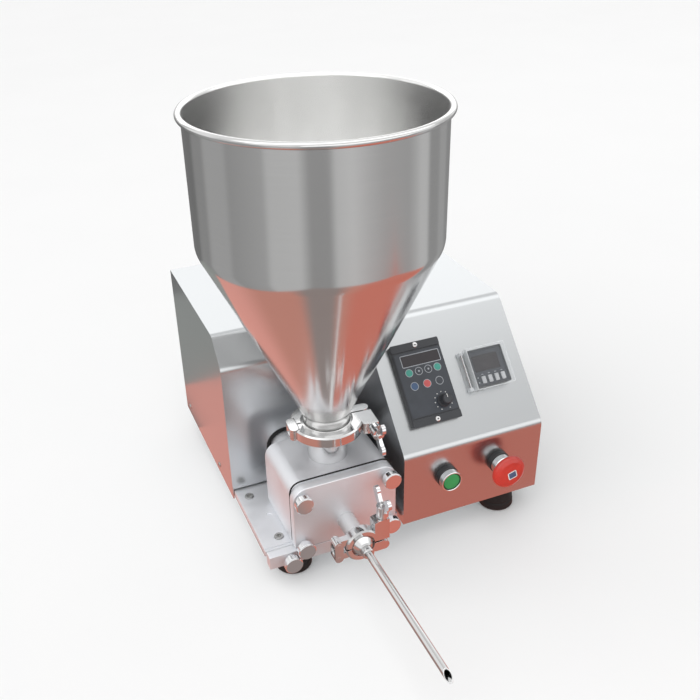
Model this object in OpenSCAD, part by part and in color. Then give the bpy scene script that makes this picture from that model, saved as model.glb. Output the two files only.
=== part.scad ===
// Bench-top cream filling machine: a bent stainless cabinet, a two-rotor lobe pump on an
// aluminium chassis plate, a clamped stainless hopper and a long filling needle.
// X runs to the right, Y to the back and Z up. The pump side faces -Y.

/* [Cabinet] */
// Width of the cabinet part that carries the controls
control_w = 176; // [170:1:210]
// Width of the bay that holds the pump
bay_w = 164; // [155:1:190]
// Depth of the cabinet from the front panel to the rear cover
cabinet_d = 345; // [335:1:400]
// Height of the cabinet above its lower edge
cabinet_h = 208; // [196:1:240]
// Height of the upright front panel
front_h = 92; // [85:1:100]
// Run of the sloped control panel from front to back
slope_run = 109; // [100:1:118]
// Outside radius of the sheet bends
bend_r = 15; // [6:1:18]
// Thickness of the stainless sheet
sheet_t = 1.5; // [1:0.1:2]
// Distance of the bay face behind the front panel
bay_face_y = 124; // [118:1:132]
// Height of the sloped strip above the bay face
bay_bevel_h = 30; // [24:1:36]
// Width of the folded flange round the rear opening
rear_flange_w = 14; // [10:1:20]

/* [Stand] */
// Height of the cabinet's lower edge above the floor
floor_gap = 35; // [30:1:45]
// Radius of a rubber foot at the floor
foot_r = 21; // [17:0.5:24]
// Radius of a rubber foot at its top
foot_top_r = 16; // [13:0.5:18]
// Distance of the left feet from the cabinet's left side
foot_left = 40; // [34:1:50]
// Distance of the right feet from the cabinet's right side
foot_right = 34; // [30:1:50]
// Distance of the front feet behind the front panel
foot_front = 30; // [26:1:40]
// Distance of the rear feet in front of the rear cover
foot_rear = 41; // [30:1:60]
// Height of the tray's underside above the cabinet's lower edge
tray_z = 3.5; // [2:0.5:6]
// Height of the tray's upturned lips
lip_h = 14; // [10:1:20]

/* [Chassis] */
// Thickness of the aluminium chassis plate
plate_t = 6; // [5:0.5:8]
// Length of the chassis plate
plate_len = 290; // [280:1:300]
// Thickness of the bar along the plate's front edge
bar_t = 11; // [9:0.5:14]
// Height of the front bar
bar_h = 16; // [14:0.5:17]

/* [Pump] */
// Distance of the pump's centre from the control part of the cabinet
pump_offset = 71; // [68:1:76]
// Width of the pump body
pump_w = 120; // [114:1:124]
// Height of the pump body
pump_h = 80; // [78:1:86]
// Length of the pump body without its cover
pump_d = 81; // [78:1:90]
// Thickness of the pump cover
cover_t = 11; // [9:0.5:13]
// Radius of the pump's upper corners
pump_r = 16; // [8:1:20]
// Radius of the pump's lower corners
pump_low_r = 5; // [2:0.5:8]
// Height of the rotor axes above the chassis plate
rotor_up = 43; // [41:0.5:45]
// Pitch radius of the rotors and their timing gears
pitch_r = 18; // [18:0.5:18.5]
// Number of lobes on a rotor
lobes = 3; // [3:1:3]
// Length of a rotor
rotor_len = 56.4; // [50:0.2:57]
// Radius of the pump shafts
shaft_r = 7.5; // [6.5:0.25:8]
// Number of teeth on a timing gear
gear_teeth = 24; // [20:2:28]
// Width of a timing gear
gear_w = 14; // [10:1:18]
// Wall of the gear housing behind the pump
housing_wall = 3.5; // [3:0.25:4.5]
// Corner radius of the gear housing
housing_corner_r = 17; // [14:0.5:20]
// Gap round the gear housing where it passes the bay face
housing_room = 2; // [1.5:0.25:3]
// Thickness of the rubber edging of that opening
edging_t = 1.5; // [1:0.25:2]

/* [Cover knobs] */
// Radius of a knob nut
knob_r = 10.2; // [9:0.1:10.2]
// Length of a knob nut
knob_len = 13.5; // [12:0.5:15]
// Distance of the knob nuts from the pump's centre, sideways
knob_x = 50.5; // [48:0.5:50.5]
// Distance of the knob nuts from their middle, up and down
knob_z = 31.2; // [30:0.1:31.2]
// Distance of the knob nuts' middle below the pump's middle
knob_drop = 3.6; // [2:0.1:3.6]
// Radius of the studs that hold the cover
stud_r = 3; // [2.5:0.25:3.5]
// Distance of the front bar's knob from the bar's left end
bar_knob_in = 23.5; // [20:0.5:24]
// Distance of the front bar's knob below the top of the chassis plate
bar_knob_drop = 8.7; // [8.3:0.1:9.2]

/* [Hopper] */
// Outside radius of the hopper's cylinder
hopper_r = 120; // [110:1:125]
// Height of the hopper's cylinder
hopper_cyl_h = 126; // [100:1:160]
// Height of the hopper's cone
hopper_cone_h = 199; // [180:1:220]
// Height of the straight neck below the cone
hopper_neck_h = 10; // [8:1:14]
// Outside radius of the hopper's neck
neck_r = 25.4; // [25:0.1:25.8]
// Thickness of the hopper's sheet
hopper_t = 1.5; // [1:0.1:2]
// Radius of the rolled bead round the rim
bead_r = 3.2; // [2.5:0.1:4]
// Distance of the hopper's axis behind the front panel
hopper_y = 48; // [46:0.5:50]
// Length of the inlet tube above the pump
inlet_len = 35.6; // [34:0.2:42]
// Outside radius of the inlet tube
inlet_r = 22; // [21:0.5:23]

/* [Nozzle] */
// Outside radius of the outlet tube
outlet_r = 10.2; // [9.6:0.1:10.4]
// Distance of the outlet below the rotor axes
outlet_drop = 20; // [18:0.5:20.5]
// Length of the outlet tube in front of the cover
outlet_len = 35.4; // [34:0.2:40]
// Length of the nozzle in front of its clamp
nozzle_len = 20; // [18:1:30]
// Outside radius of the needle
needle_r = 4; // [3:0.25:4.5]
// Wall of the needle
needle_wall = 0.8; // [0.6:0.1:1.2]
// Length of the needle outside the nozzle
needle_len = 174; // [120:1:200]
// Angle of the needle's slanted tip to its axis
needle_tip_angle = 45; // [35:1:60]

/* [Clamps] */
// Radius of the hopper's clamp flanges
hopper_flange_r = 32; // [31.5:0.1:32]
// Radius of the nozzle's clamp flanges
nozzle_flange_r = 15.2; // [15.2:0.1:16]
// Thickness of a clamp flange at its edge
flange_edge = 2.3; // [2:0.1:2.8]
// Slope of the clamp flange faces
flange_angle = 20; // [18:1:22]
// Thickness of the gaskets between the flanges
gasket_t = 1.2; // [1:0.1:1.6]
// Wall of the hopper's clamp ring outside its flanges
hopper_clamp_wall = 7.5; // [6:0.5:8]
// Wall of the nozzle's clamp ring outside its flanges
nozzle_clamp_wall = 4.2; // [3.6:0.2:5]
// Half height of a clamp ring
clamp_half_h = 6.5; // [6:0.25:7]
// Turn of the hopper's clamp about its axis
hopper_clamp_turn = -4; // [-10:1:4]
// Radius of the swing bolts
bolt_r = 3; // [2.5:0.25:3.25]
// Half span of a wing nut
wing_span = 19; // [17:0.5:20]
// Distance of the wing nuts' seat from a clamp's parting plane
nut_lift = 27; // [22:0.5:30]
// Distance of the swing bolts' pivot from a clamp's parting plane
pivot_drop = 7.5; // [7:0.25:9]

/* [Controls] */
// Width of the speed controller
controller_w = 60; // [56:1:64]
// Height of the speed controller
controller_h = 95; // [90:1:100]
// Thickness of the speed controller in front of the panel
controller_t = 8; // [6:0.5:10]
// Distance of the controller's centre from the left edge of the panel
controller_x = 48.6; // [46:0.1:52]
// Distance of the controller's centre up the slope
controller_s = 76.2; // [72:0.1:80]
// Radius of the speed knob
dial_r = 6.5; // [5.5:0.25:8]
// Width of the counter's square bezel
counter_w = 44; // [43:0.5:46]
// Thickness of the counter's bezel in front of the panel
counter_t = 10; // [8:0.5:11]
// Distance of the counter's centre from the left edge of the panel
counter_x = 128.7; // [126.7:0.5:132.7]
// Distance of the counter's centre up the slope
counter_s = 76.2; // [72.2:0.5:80.2]
// Radius of the start button's bezel
start_r = 12.7; // [12:0.1:14]
// Distance of the start button from the left edge of the panel
start_x = 52.5; // [46:0.5:57]
// Length of the start button's bezel in front of the panel
start_h = 15; // [12:0.5:18]
// Width of the start button's rim round its cap
start_rim = 2.8; // [2.4:0.1:3.6]
// Radius of the stop button's mushroom head
stop_r = 20.2; // [18:0.2:21]
// Distance of the stop button from the left edge of the panel
stop_x = 119.5; // [110:0.5:124]
// Length of the stop button's collar in front of the panel
stop_collar_h = 15; // [11:0.5:18]
// Height of both buttons above the cabinet's lower edge
button_z = 54.5; // [50:0.5:62]

// Depth of the buttons' switches behind the panel
switch_depth = 38; // [30:1:45]
// Depth of the speed controller behind the panel
controller_depth = 55; // [40:1:60]
// Depth of the counter behind the panel
counter_depth = 60; // [45:1:65]

/* [Clearances] */
// Gap between panels that are fitted into each other
fit_gap = 0.3; // [0.2:0.05:0.5]
// Radial play of turning and sliding fits
run_gap = 0.05; // [0.02:0.01:0.08]
// Radial play of pieces that are pressed or screwed together for good
seat_gap = 0.02; // [0.01:0.01:0.03]
// Gap between a clamp's halves
split_gap = 2; // [1.5:0.1:3]
// Play between rotors and their chamber
rotor_gap = 0.35; // [0.3:0.05:0.5]

/* [Hidden] */
$fn = 64;
// Overshoot of a cut beyond the piece it is taken from
cut = 1;
// Size larger than any piece, for cuts that split a piece
reach = 300;
bend_steps = 10;
corner_steps = 5;
slope_a = atan2(cabinet_h - front_h, slope_run);

// Heights and places that several pieces share
plate_z = tray_z + sheet_t;
plate_top = plate_z + plate_t;
pump_x = -pump_offset;
pump_left = pump_x - pump_w / 2;
pump_right = pump_x + pump_w / 2;
cover_front = -2;
cover_back = cover_front + cover_t;
pump_rear = cover_back + pump_d;
pump_top = plate_top + pump_h;
pump_mid_z = plate_top + pump_h / 2;
rotor_z = plate_top + rotor_up;
drive_x = pump_x + pitch_r;
driven_x = pump_x - pitch_r;
lobe_roll_r = pitch_r / (2 * lobes);
rotor_tip_r = pitch_r + 2 * lobe_roll_r;
chamber_r = rotor_tip_r + rotor_gap / 2;
chamber_len = rotor_len + 2 * fit_gap;
outlet_z = rotor_z - outlet_drop;
outlet_wall = 2.5;
outlet_bore_r = outlet_r - outlet_wall;
plate_front = cover_back + fit_gap;
bar_top = plate_top - fit_gap;
bar_end_gap = 3;
bar_left = -bay_w + bar_end_gap;
bar_knob_x = bar_left + bar_knob_in;
bar_knob_z = plate_top - bar_knob_drop;
slot_room = 2.5;
slot_top = plate_top + slot_room;

// Shafts, bearings and drive
bearing_gap = 0.5;
bearing_r = pitch_r - bearing_gap;
bearing_w = 11;
bearing_stop = 2;
bearing_end_play = 0.1;
bore_room = 1.5;
housing_front_t = bearing_stop + bearing_w;
cavity_len = 37;
housing_rear = pump_rear + housing_front_t + cavity_len;
bracket_back_t = 4;
bracket_t = bearing_w + bracket_back_t;
bracket_rear = housing_rear + bracket_t;
gear_room = 5;
gear_y = pump_rear + housing_front_t + gear_room;
gear_module = 2 * pitch_r / gear_teeth;
gear_tip_r = pitch_r + gear_module;
gear_root_depth = 1.25;
gear_play = 1;
pressure_a = 20;
gear_backlash = 0.25;
housing_w = 2 * (pitch_r + gear_tip_r + gear_play + housing_wall);
housing_h = 2 * (gear_tip_r + gear_play + housing_wall);
seal_r = 13;
seal_w = 8.5;
motor_size = 80;
motor_corner_r = 8;
motor_shaft_offset = 15;
motor_x = drive_x - motor_shaft_offset;
gear_head_len = 45;
motor_len = 88;
shaft_front = cover_back + 3;
drive_shaft_in = 30;
drive_end = bracket_rear + drive_shaft_in;

// Clamp flanges: length of the sloped part beyond the edge, and the most of the slope that shows
flange_rise = 2.4;
flange_face = 1.2;
flange_slope_w = 5.6;
flange_step = 0.6;

// Hopper and its flanges
hopper_flange_z = pump_top + inlet_len + flange_edge + flange_face;
hopper_foot_z = hopper_flange_z + gasket_t;
clamp_mid_z = hopper_flange_z + gasket_t / 2;
cone_z = hopper_foot_z + flange_edge + flange_rise + hopper_neck_h;
cyl_z = cone_z + hopper_cone_h;
rim_z = cyl_z + hopper_cyl_h;
rim_r = hopper_r + 2 * bead_r - hopper_t;
neck_bend_r = 14;
shoulder_bend_r = 26;
inlet_wall = 3;
pump_inlet_r = inlet_r - inlet_wall - 1;

// Nozzle flanges along Y
outlet_face_y = cover_front - outlet_len - flange_edge - flange_face;
nozzle_back_y = outlet_face_y - gasket_t;
nozzle_mid_y = outlet_face_y - gasket_t / 2;
nozzle_tip_y = nozzle_back_y - nozzle_len;
needle_tip_y = nozzle_tip_y - needle_len;

// Clamp proportions. A hinge is given by its pins' distance from the ring and from the parting plane.
hopper_clamp_r = hopper_flange_r + hopper_clamp_wall;
nozzle_clamp_r = nozzle_flange_r + nozzle_clamp_wall;
hopper_lip = 3.6;
nozzle_lip = 1.9;
groove_play = 0.15;
groove_room = 0.4;
ring_edge = 1.6;
bolt_side = 5.4;
pin_r = 2.5;
pin_play = 0.1;
eye_r = 5.5;
eye_half_h = 3.8;
eye_room = 0.5;
ear_r = 5.5;
ear_root = 6;
link_r = 4.8;
hopper_link = [-1, 7];
nozzle_link = [8, 8.5];
link_t = 2.4;
link_gap = 0.2;
lug_half_h = 3.8;
lug_shoulder = 1;
lug_root = 5;
slot_play = 0.6;
nut_hub_r = 6.5;
nut_hub_len = 14;
bolt_over = 4;
wing_t = 4;
wing_a = 55;
wing_tip_r = 5.5;
wing_neck = 4.5;
wing_root = [5, 12];
wing_arm = (wing_span - wing_root[0] - wing_tip_r) / cos(wing_a);

// Screws
screw_r = 2;
screw_head_r = 3.6;
screw_head_h = 1.4;
screw_play = 0.1;
rear_screw_len = 8;
cap_r = 3;
cap_head_r = 5;
cap_head_h = 5;
cap_play = 0.2;
hex_r = 2.9;
hex_h = 2.5;
nut_r = 5.8;
nut_h = 5;

// Box of the whole machine, which sets the origin below its middle
right_x = control_w + screw_head_h;
left_x = min(pump_x - rim_r, -bay_w - screw_head_h);
inlet_flange_t = 2;
rear_y = cabinet_d + sheet_t + inlet_flange_t;
origin_x = (left_x + right_x) / 2;
origin_y = (needle_tip_y + rear_y) / 2;

// Outline helpers

function unit(v) = v / norm(v);

function on_circle(r, a) = r * [cos(a), sin(a)];

function arc_points(c, r, from, to, steps) =
  [for (i = [0 : steps]) c + on_circle(r, from + (to - from) * i / steps)];

function turn_between(a, b) = b - a > 180 ? b - a - 360 : (b - a < -180 ? b - a + 360 : b - a);

function corner_arc(before, at, after, r, steps) =
  let (u = unit(before - at), v = unit(after - at), half = acos(u * v) / 2)
  let (c = at + unit(u + v) * r / sin(half))
  let (start = at + u * r / tan(half) - c, end = at + v * r / tan(half) - c)
  let (from = atan2(start[1], start[0]), sweep = turn_between(from, atan2(end[1], end[0])))
  arc_points(c, r, from, from + sweep, steps);

// Closed outline whose corners are rounded by the radii given beside its points
function round_path(points, radii, steps) =
  let (n = len(points))
  [for (i = [0 : n - 1])
    each radii[i] <= 0
      ? [points[i]]
      : corner_arc(points[(i + n - 1) % n], points[i], points[(i + 1) % n], radii[i], steps)];

function box_path(w, h, r, steps = corner_steps) = round_path(
  [[-w / 2, -h / 2], [w / 2, -h / 2], [w / 2, h / 2], [-w / 2, h / 2]], [r, r, r, r], steps);

// Placing helpers

module place() translate([-origin_x, -origin_y, floor_gap]) children();

// Profile in Y and Z, drawn along X from x0 to x1
module along_x(x0, x1) translate([x0, 0, 0]) rotate([90, 0, 90]) linear_extrude(x1 - x0) children();

// Profile in X and Z, drawn along Y from y0 to y1
module along_y(y0, y1) translate([0, y1, 0]) rotate([90, 0, 0]) linear_extrude(y1 - y0) children();

// Round bar along Y at a place in X and Z
module bar_y(x, z, r, y0, y1) translate([x, y0, z]) rotate([-90, 0, 0]) cylinder(r = r, h = y1 - y0);

module ring_y(x, z, r_in, r_out, y0, y1) difference() {
  bar_y(x, z, r_out, y0, y1);
  bar_y(x, z, r_in, y0 - cut, y1 + cut);
}

// Box with rounded edges along Y, centred at a place in X and Z
module block_y(x, z, w, h, r, y0, y1) along_y(y0, y1) translate([x, z]) polygon(box_path(w, h, r));

// The frame of the sloped panel: X across, Y up the slope, Z out of the panel
module on_slope(x, s)
  translate([x, s * cos(slope_a), front_h + s * sin(slope_a)]) rotate([slope_a, 0, 0]) children();

// The frame of the upright panel: X across, Y up, Z out of the panel
module on_front(x, z) translate([x, 0, z]) rotate([90, 0, 0]) children();

module at_hopper_clamp()
  translate([pump_x, hopper_y, clamp_mid_z]) rotate([0, 0, hopper_clamp_turn]) children();

module at_nozzle_clamp() translate([pump_x, nozzle_mid_y, outlet_z]) rotate([-90, 0, 0]) children();

// Cabinet

bay_bend_r = 0.8 * bend_r;

// Outline of the control part, inset by i, from low to the given rear
function control_outline(i, low, rear) = round_path(
  [
    [i, low],
    [i, front_h - i * tan((90 - slope_a) / 2)],
    [slope_run + i * tan(slope_a / 2), cabinet_h - i],
    [rear, cabinet_h - i],
    [rear, low]
  ],
  [0, bend_r - i, bend_r - i, 0, 0], bend_steps);

// Outline of the bay part, inset by i
function bay_outline(i, low, rear) = round_path(
  [
    [bay_face_y + i, low],
    [bay_face_y + i, cabinet_h - bay_bevel_h - i * tan((90 - slope_a) / 2)],
    [bay_face_y + bay_bevel_h / tan(slope_a) + i * tan(slope_a / 2), cabinet_h - i],
    [rear, cabinet_h - i],
    [rear, low]
  ],
  [0, bay_bend_r - i, bay_bend_r - i, 0, 0], bend_steps);

side_screw_front = 181;
side_screw_in = 20;
side_screw_y = [side_screw_front, cabinet_d - side_screw_in];
side_screw_z = tray_z + 0.55 * lip_h;
side_screw_len = 2 * sheet_t + fit_gap;
rear_screw_low = 26;
rear_screw_x = [-bay_w + rear_flange_w / 2, (control_w - bay_w) / 2, control_w - rear_flange_w / 2];
rear_screw_z = [rear_screw_low, cabinet_h - rear_flange_w / 2];
rear_screws = [
  for (x = [rear_screw_x[0], rear_screw_x[2]], z = rear_screw_z) [x, z],
  [rear_screw_x[1], rear_screw_z[1]]
];
controller_lap = 3;
controller_box = [controller_w - 2 * controller_lap, controller_h - 2 * controller_lap];
counter_lap = 1.75;
counter_box = counter_w - 2 * counter_lap;
button_hole_r = 11.2;

// Opening for the gear housing in the bay face, grown by i
module housing_opening(i, y0, y1) {
  grow = 2 * (housing_room + i);
  corner = housing_corner_r + housing_room + i;
  block_y(pump_x, rotor_z, housing_w + grow, housing_h + grow, corner, y0, y1);
}

module button_hole(x)
  on_front(x, button_z) translate([0, 0, -sheet_t - cut]) cylinder(r = button_hole_r, h = sheet_t + 2 * cut);

// Hole through a sheet that starts at x and stands across X
module side_hole(x, y)
  translate([x - cut, y, side_screw_z]) rotate([0, 90, 0])
    cylinder(r = screw_r + screw_play, h = sheet_t + 2 * cut);

module cabinet_shell() color("silver") place() difference() {
  union() {
    difference() {
      union() {
        along_x(0, control_w) polygon(control_outline(0, 0, cabinet_d));
        along_x(-bay_w, cut) polygon(bay_outline(0, 0, cabinet_d));
      }
      along_x(sheet_t, control_w - sheet_t) polygon(control_outline(sheet_t, -cut, cabinet_d + cut));
      along_x(-bay_w + sheet_t, sheet_t + cut) polygon(bay_outline(sheet_t, -cut, cabinet_d + cut));
    }
    rear_flange();
  }
  // Way under the bay face for the chassis plate
  translate([-bay_w + sheet_t, bay_face_y - cut, -cut])
    cube([bay_w - sheet_t, sheet_t + 2 * cut, slot_top + cut]);
  housing_opening(edging_t, bay_face_y - cut, bay_face_y + sheet_t + cut);
  button_hole(start_x);
  button_hole(stop_x);
  on_slope(controller_x, controller_s) panel_cutout(controller_box[0], controller_box[1]);
  on_slope(counter_x, counter_s) panel_cutout(counter_box, counter_box);
  for (y = side_screw_y, x = [-bay_w, control_w - sheet_t]) side_hole(x, y);
}

module rear_flange() difference() {
  translate([-bay_w + sheet_t / 2, cabinet_d - sheet_t, 0])
    cube([bay_w + control_w - sheet_t, sheet_t, cabinet_h - sheet_t / 2]);
  translate([-bay_w + rear_flange_w, cabinet_d - sheet_t - cut, -cut])
    cube([bay_w + control_w - 2 * rear_flange_w, sheet_t + 2 * cut, cabinet_h - rear_flange_w + cut]);
  for (p = rear_screws) bar_y(p[0], p[1], screw_r + screw_play, cabinet_d - sheet_t - cut, cabinet_d + cut);
}

module panel_cutout(w, h) translate([-w / 2 - fit_gap, -h / 2 - fit_gap, -2 * sheet_t])
  cube([w + 2 * fit_gap, h + 2 * fit_gap, 3 * sheet_t]);

inlet_in = 60;
inlet_x = control_w - inlet_in;
inlet_z = 52;
inlet_w = 31;
inlet_h = 25;
rear_margin = 2;
rear_rise = 1;
rear_corner_r = 4;
vent_w = 46;
vent_h = 5;
vent_step = 12;
vent_low = 80;
vents = 8;
vent_x = [-0.45 * bay_w, 0];

module rear_cover() color("silver") place() difference() {
  block_y((control_w - bay_w) / 2, cabinet_h / 2 + rear_rise, bay_w + control_w - 2 * rear_margin,
    cabinet_h - 2 * rear_margin, rear_corner_r, cabinet_d, cabinet_d + sheet_t);
  for (p = rear_screws) bar_y(p[0], p[1], screw_r + screw_play, cabinet_d - cut, cabinet_d + sheet_t + cut);
  translate([inlet_x - inlet_w / 2 - fit_gap, cabinet_d - cut, inlet_z - inlet_h / 2 - fit_gap])
    cube([inlet_w + 2 * fit_gap, sheet_t + 2 * cut, inlet_h + 2 * fit_gap]);
  for (i = [0 : vents - 1], x = vent_x) vent_slot(x, vent_low + i * vent_step);
}

module vent_slot(x, z) {
  half = (vent_w - vent_h) / 2;
  for (side = [-1, 1]) bar_y(x + side * half, z, vent_h / 2, cabinet_d - cut, cabinet_d + sheet_t + cut);
  translate([x - half, cabinet_d - cut, z - vent_h / 2]) cube([2 * half, sheet_t + 2 * cut, vent_h]);
}

// Pan head screw whose head sits on the plane Z = 0 and whose shank runs down
module pan_screw(len) rotate_extrude() polygon(concat(
  [[0, -len], [screw_r, -len], [screw_r, 0], [screw_head_r, 0], [screw_head_r, 0.4 * screw_head_h]],
  [[0.8 * screw_head_r, 0.85 * screw_head_h], [0.4 * screw_head_r, screw_head_h], [0, screw_head_h]]));

module casing_screws() color("gainsboro") place() {
  for (p = rear_screws)
    translate([p[0], cabinet_d + sheet_t, p[1]]) rotate([-90, 0, 0]) pan_screw(rear_screw_len);
  for (y = side_screw_y) {
    translate([control_w, y, side_screw_z]) rotate([0, 90, 0]) pan_screw(side_screw_len);
    translate([-bay_w, y, side_screw_z]) rotate([0, -90, 0]) pan_screw(side_screw_len);
  }
}

// Tray and feet

foot_x = [-bay_w + foot_left, control_w - foot_right];
foot_y = [foot_front, cabinet_d - foot_rear];
foot_bore_r = cap_head_r + 1.5;
foot_bore_h = 14;
foot_edge = 1.5;
foot_edge_h = 2;
foot_band_h = 8;
foot_band_in = 0.4;
tray_in = sheet_t + fit_gap;
tray_front = plate_front + 2;
tray_rear = cabinet_d - 2 * sheet_t;
lip_in = 5;

module tray_hole(x, y)
  translate([x, y, tray_z - cut]) cylinder(r = cap_r + cap_play, h = sheet_t + 2 * cut);

module base_tray() color("lightgray") place() difference() {
  union() {
    translate([0, 0, tray_z]) linear_extrude(sheet_t) polygon([
      [-bay_w + tray_in, tray_front], [-split_gap, tray_front], [-split_gap, bay_face_y + tray_in],
      [tray_in, bay_face_y + tray_in], [tray_in, tray_in], [control_w - tray_in, tray_in],
      [control_w - tray_in, tray_rear], [-bay_w + tray_in, tray_rear]
    ]);
    translate([-bay_w + tray_in, bay_face_y + lip_in, tray_z])
      cube([sheet_t, cabinet_d - bay_face_y - 2 * lip_in, lip_h]);
    translate([control_w - tray_in - sheet_t, lip_in, tray_z]) cube([sheet_t, cabinet_d - 2 * lip_in, lip_h]);
    translate([lip_in, tray_in, tray_z]) cube([control_w - 2 * lip_in, sheet_t, lip_h]);
  }
  for (x = foot_x, y = foot_y) tray_hole(x, y);
  for (p = plate_screws) tray_hole(p[0], p[1]);
  for (y = side_screw_y, x = [-bay_w + tray_in, control_w - tray_in - sheet_t]) side_hole(x, y);
}

module rubber_feet() color("#202020") place()
  for (x = foot_x, y = foot_y) translate([x, y, 0]) rotate_extrude() polygon([
    [foot_bore_r, -floor_gap], [foot_r - foot_edge, -floor_gap], [foot_r, -floor_gap + foot_edge_h],
    [foot_r - foot_band_in, -floor_gap + foot_band_h], [foot_top_r, tray_z], [cap_r + cap_play, tray_z],
    [cap_r + cap_play, -floor_gap + foot_bore_h], [foot_bore_r, -floor_gap + foot_bore_h]
  ]);

// Chassis plate, front bar and their screws

plate_right = -3;
plate_left = -bay_w + 2;
plate_notch_x = -bay_w + tray_in + sheet_t + fit_gap;
plate_notch_y = bay_face_y + 2;
plate_rear = plate_front + plate_len;
// Places of the plate's screws, measured from the pump's side, the bay face, the bar and the plate's rear
bay_screw_in = [18, 17];
bar_screw_in = [9, 18];
rear_plate_screw_in = [20, 14, 12];
plate_screws = [
  [pump_left - bay_screw_in[0], bay_face_y - bay_screw_in[1]],
  [pump_left - bar_screw_in[0], plate_front + bar_screw_in[1]],
  [plate_left + rear_plate_screw_in[0], plate_rear - rear_plate_screw_in[2]],
  [plate_right - rear_plate_screw_in[1], plate_rear - rear_plate_screw_in[2]]
];
counterbore_h = 3.5;
groove_in = 2;
groove_w = 3;
groove_h = 1.5;
dimple_r = 3;
dimple_h = 1;
dimple_in = 7;
foot_thread_end = 1;

module chassis_plate() color("lightgray") place() difference() {
  translate([0, 0, plate_z]) linear_extrude(plate_t) polygon([
    [plate_left, plate_front], [plate_right, plate_front], [plate_right, plate_rear],
    [plate_notch_x, plate_rear], [plate_notch_x, plate_notch_y], [plate_left, plate_notch_y]
  ]);
  // Groove behind the front bar, left of the pump
  translate([bar_left, plate_front + groove_in, plate_top - groove_h])
    cube([pump_left - bar_left, groove_w, groove_h + cut]);
  for (p = plate_screws) {
    translate([p[0], p[1], plate_z - cut]) cylinder(r = cap_r + screw_play, h = plate_t + 2 * cut);
    translate([p[0], p[1], plate_top - counterbore_h])
      cylinder(r = cap_head_r + fit_gap, h = counterbore_h + cut);
  }
  for (y = foot_y) translate([foot_x[0], y, plate_z - cut])
    cylinder(r = cap_r + screw_play, h = plate_t - foot_thread_end + cut);
  translate([pump_left - dimple_in, (plate_front + bay_face_y) / 2, plate_top - dimple_h])
    cylinder(r = dimple_r, h = dimple_h + cut);
}

// Socket head cap screw: head above Z = 0, shank below
module cap_screw(len) difference() {
  union() {
    cylinder(r = cap_head_r, h = cap_head_h);
    translate([0, 0, -len]) cylinder(r = cap_r, h = len + cut);
  }
  translate([0, 0, cap_head_h - hex_h]) cylinder(r = hex_r, h = hex_h + cut, $fn = 6);
}

module foot_nut() difference() {
  cylinder(r = nut_r, h = nut_h, $fn = 6);
  translate([0, 0, -cut]) cylinder(r = cap_r + seat_gap, h = nut_h + 2 * cut);
}

module chassis_screws() color("gainsboro") place() {
  foot_screw_z = -floor_gap + foot_bore_h;
  for (p = plate_screws) translate([p[0], p[1], plate_top - counterbore_h])
    cap_screw(plate_t - counterbore_h + sheet_t - fit_gap);
  for (x = foot_x, y = foot_y) translate([x, y, foot_screw_z]) rotate([180, 0, 0])
    cap_screw(plate_top - foot_thread_end - fit_gap - foot_screw_z);
  for (y = foot_y) translate([foot_x[1], y, plate_z]) foot_nut();
}

bar_corner_r = 1;
bar_back_wall = 2;

module front_bar() color("lightgray") place() difference() {
  block_y((bar_left + pump_right) / 2, bar_top - bar_h / 2, pump_right - bar_left, bar_h, bar_corner_r,
    cover_front, cover_front + bar_t);
  bar_y(bar_knob_x, bar_knob_z, stud_r + run_gap, cover_front - cut, cover_front + bar_t - bar_back_wall);
}

// Pump

pump_steps = 12;
// Groove between the cover and the body, which shows as a dark line
seam_w = 0.8;
seam_h = 0.9;

// Outline of the pump, inset by i
function pump_path(i) = round_path(
  [[-pump_w / 2 + i, i], [pump_w / 2 - i, i], [pump_w / 2 - i, pump_h - i], [-pump_w / 2 + i, pump_h - i]],
  [pump_low_r - i, pump_low_r - i, pump_r - i, pump_r - i], pump_steps);

module pump_block(i, y0, y1) translate([pump_x, 0, plate_top]) along_y(y0, y1) polygon(pump_path(i));

knob_mid_z = pump_mid_z - knob_drop;
stud_places = [for (x = [-1, 1], z = [-1, 1]) [pump_x + x * knob_x, knob_mid_z + z * knob_z]];
stud_depth = 20;
stud_end_gap = 0.2;
stud_in_knob = 0.6 * knob_len;
knob_bore_len = 0.65 * knob_len;
ring_w = 3;
ring_t = 2;
ring_out = 6;
ring_side = chamber_r + ring_out;
ring_play = 0.1;
ring_end_play = 0.05;
outlet_pocket = 0.6 * chamber_len;

module seal_track(grow) {
  for (side = [-1, 1]) translate([side * pitch_r, 0]) circle(r = ring_side + grow);
  square([2 * pitch_r, 2 * (ring_side + grow)], center = true);
}

module seal_ring(play) difference() {
  seal_track(ring_w - play);
  seal_track(play);
}

module pump_body() color("#c8cbd0") place() difference() {
  union() {
    pump_block(seam_h, cover_back, cover_back + seam_w + cut);
    pump_block(0, cover_back + seam_w, pump_rear);
  }
  for (x = [driven_x, drive_x]) {
    bar_y(x, rotor_z, chamber_r, cover_back - cut, cover_back + chamber_len);
    bar_y(x, rotor_z, seal_r, cover_back + chamber_len - cut, cover_back + chamber_len + seal_w);
    bar_y(x, rotor_z, shaft_r + bore_room, cover_back, pump_rear + cut);
  }
  // Inlet from above, and the outlet pocket behind the port in the cover
  translate([pump_x, hopper_y, rotor_z]) cylinder(r = pump_inlet_r, h = pump_h);
  bar_y(pump_x, outlet_z, outlet_bore_r, cover_back - cut, cover_back + outlet_pocket);
  for (p = stud_places) bar_y(p[0], p[1], stud_r + seat_gap, cover_back - cut, cover_back + stud_depth);
  translate([pump_x, 0, rotor_z]) along_y(cover_back - cut, cover_back + ring_t) seal_ring(0);
}

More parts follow.
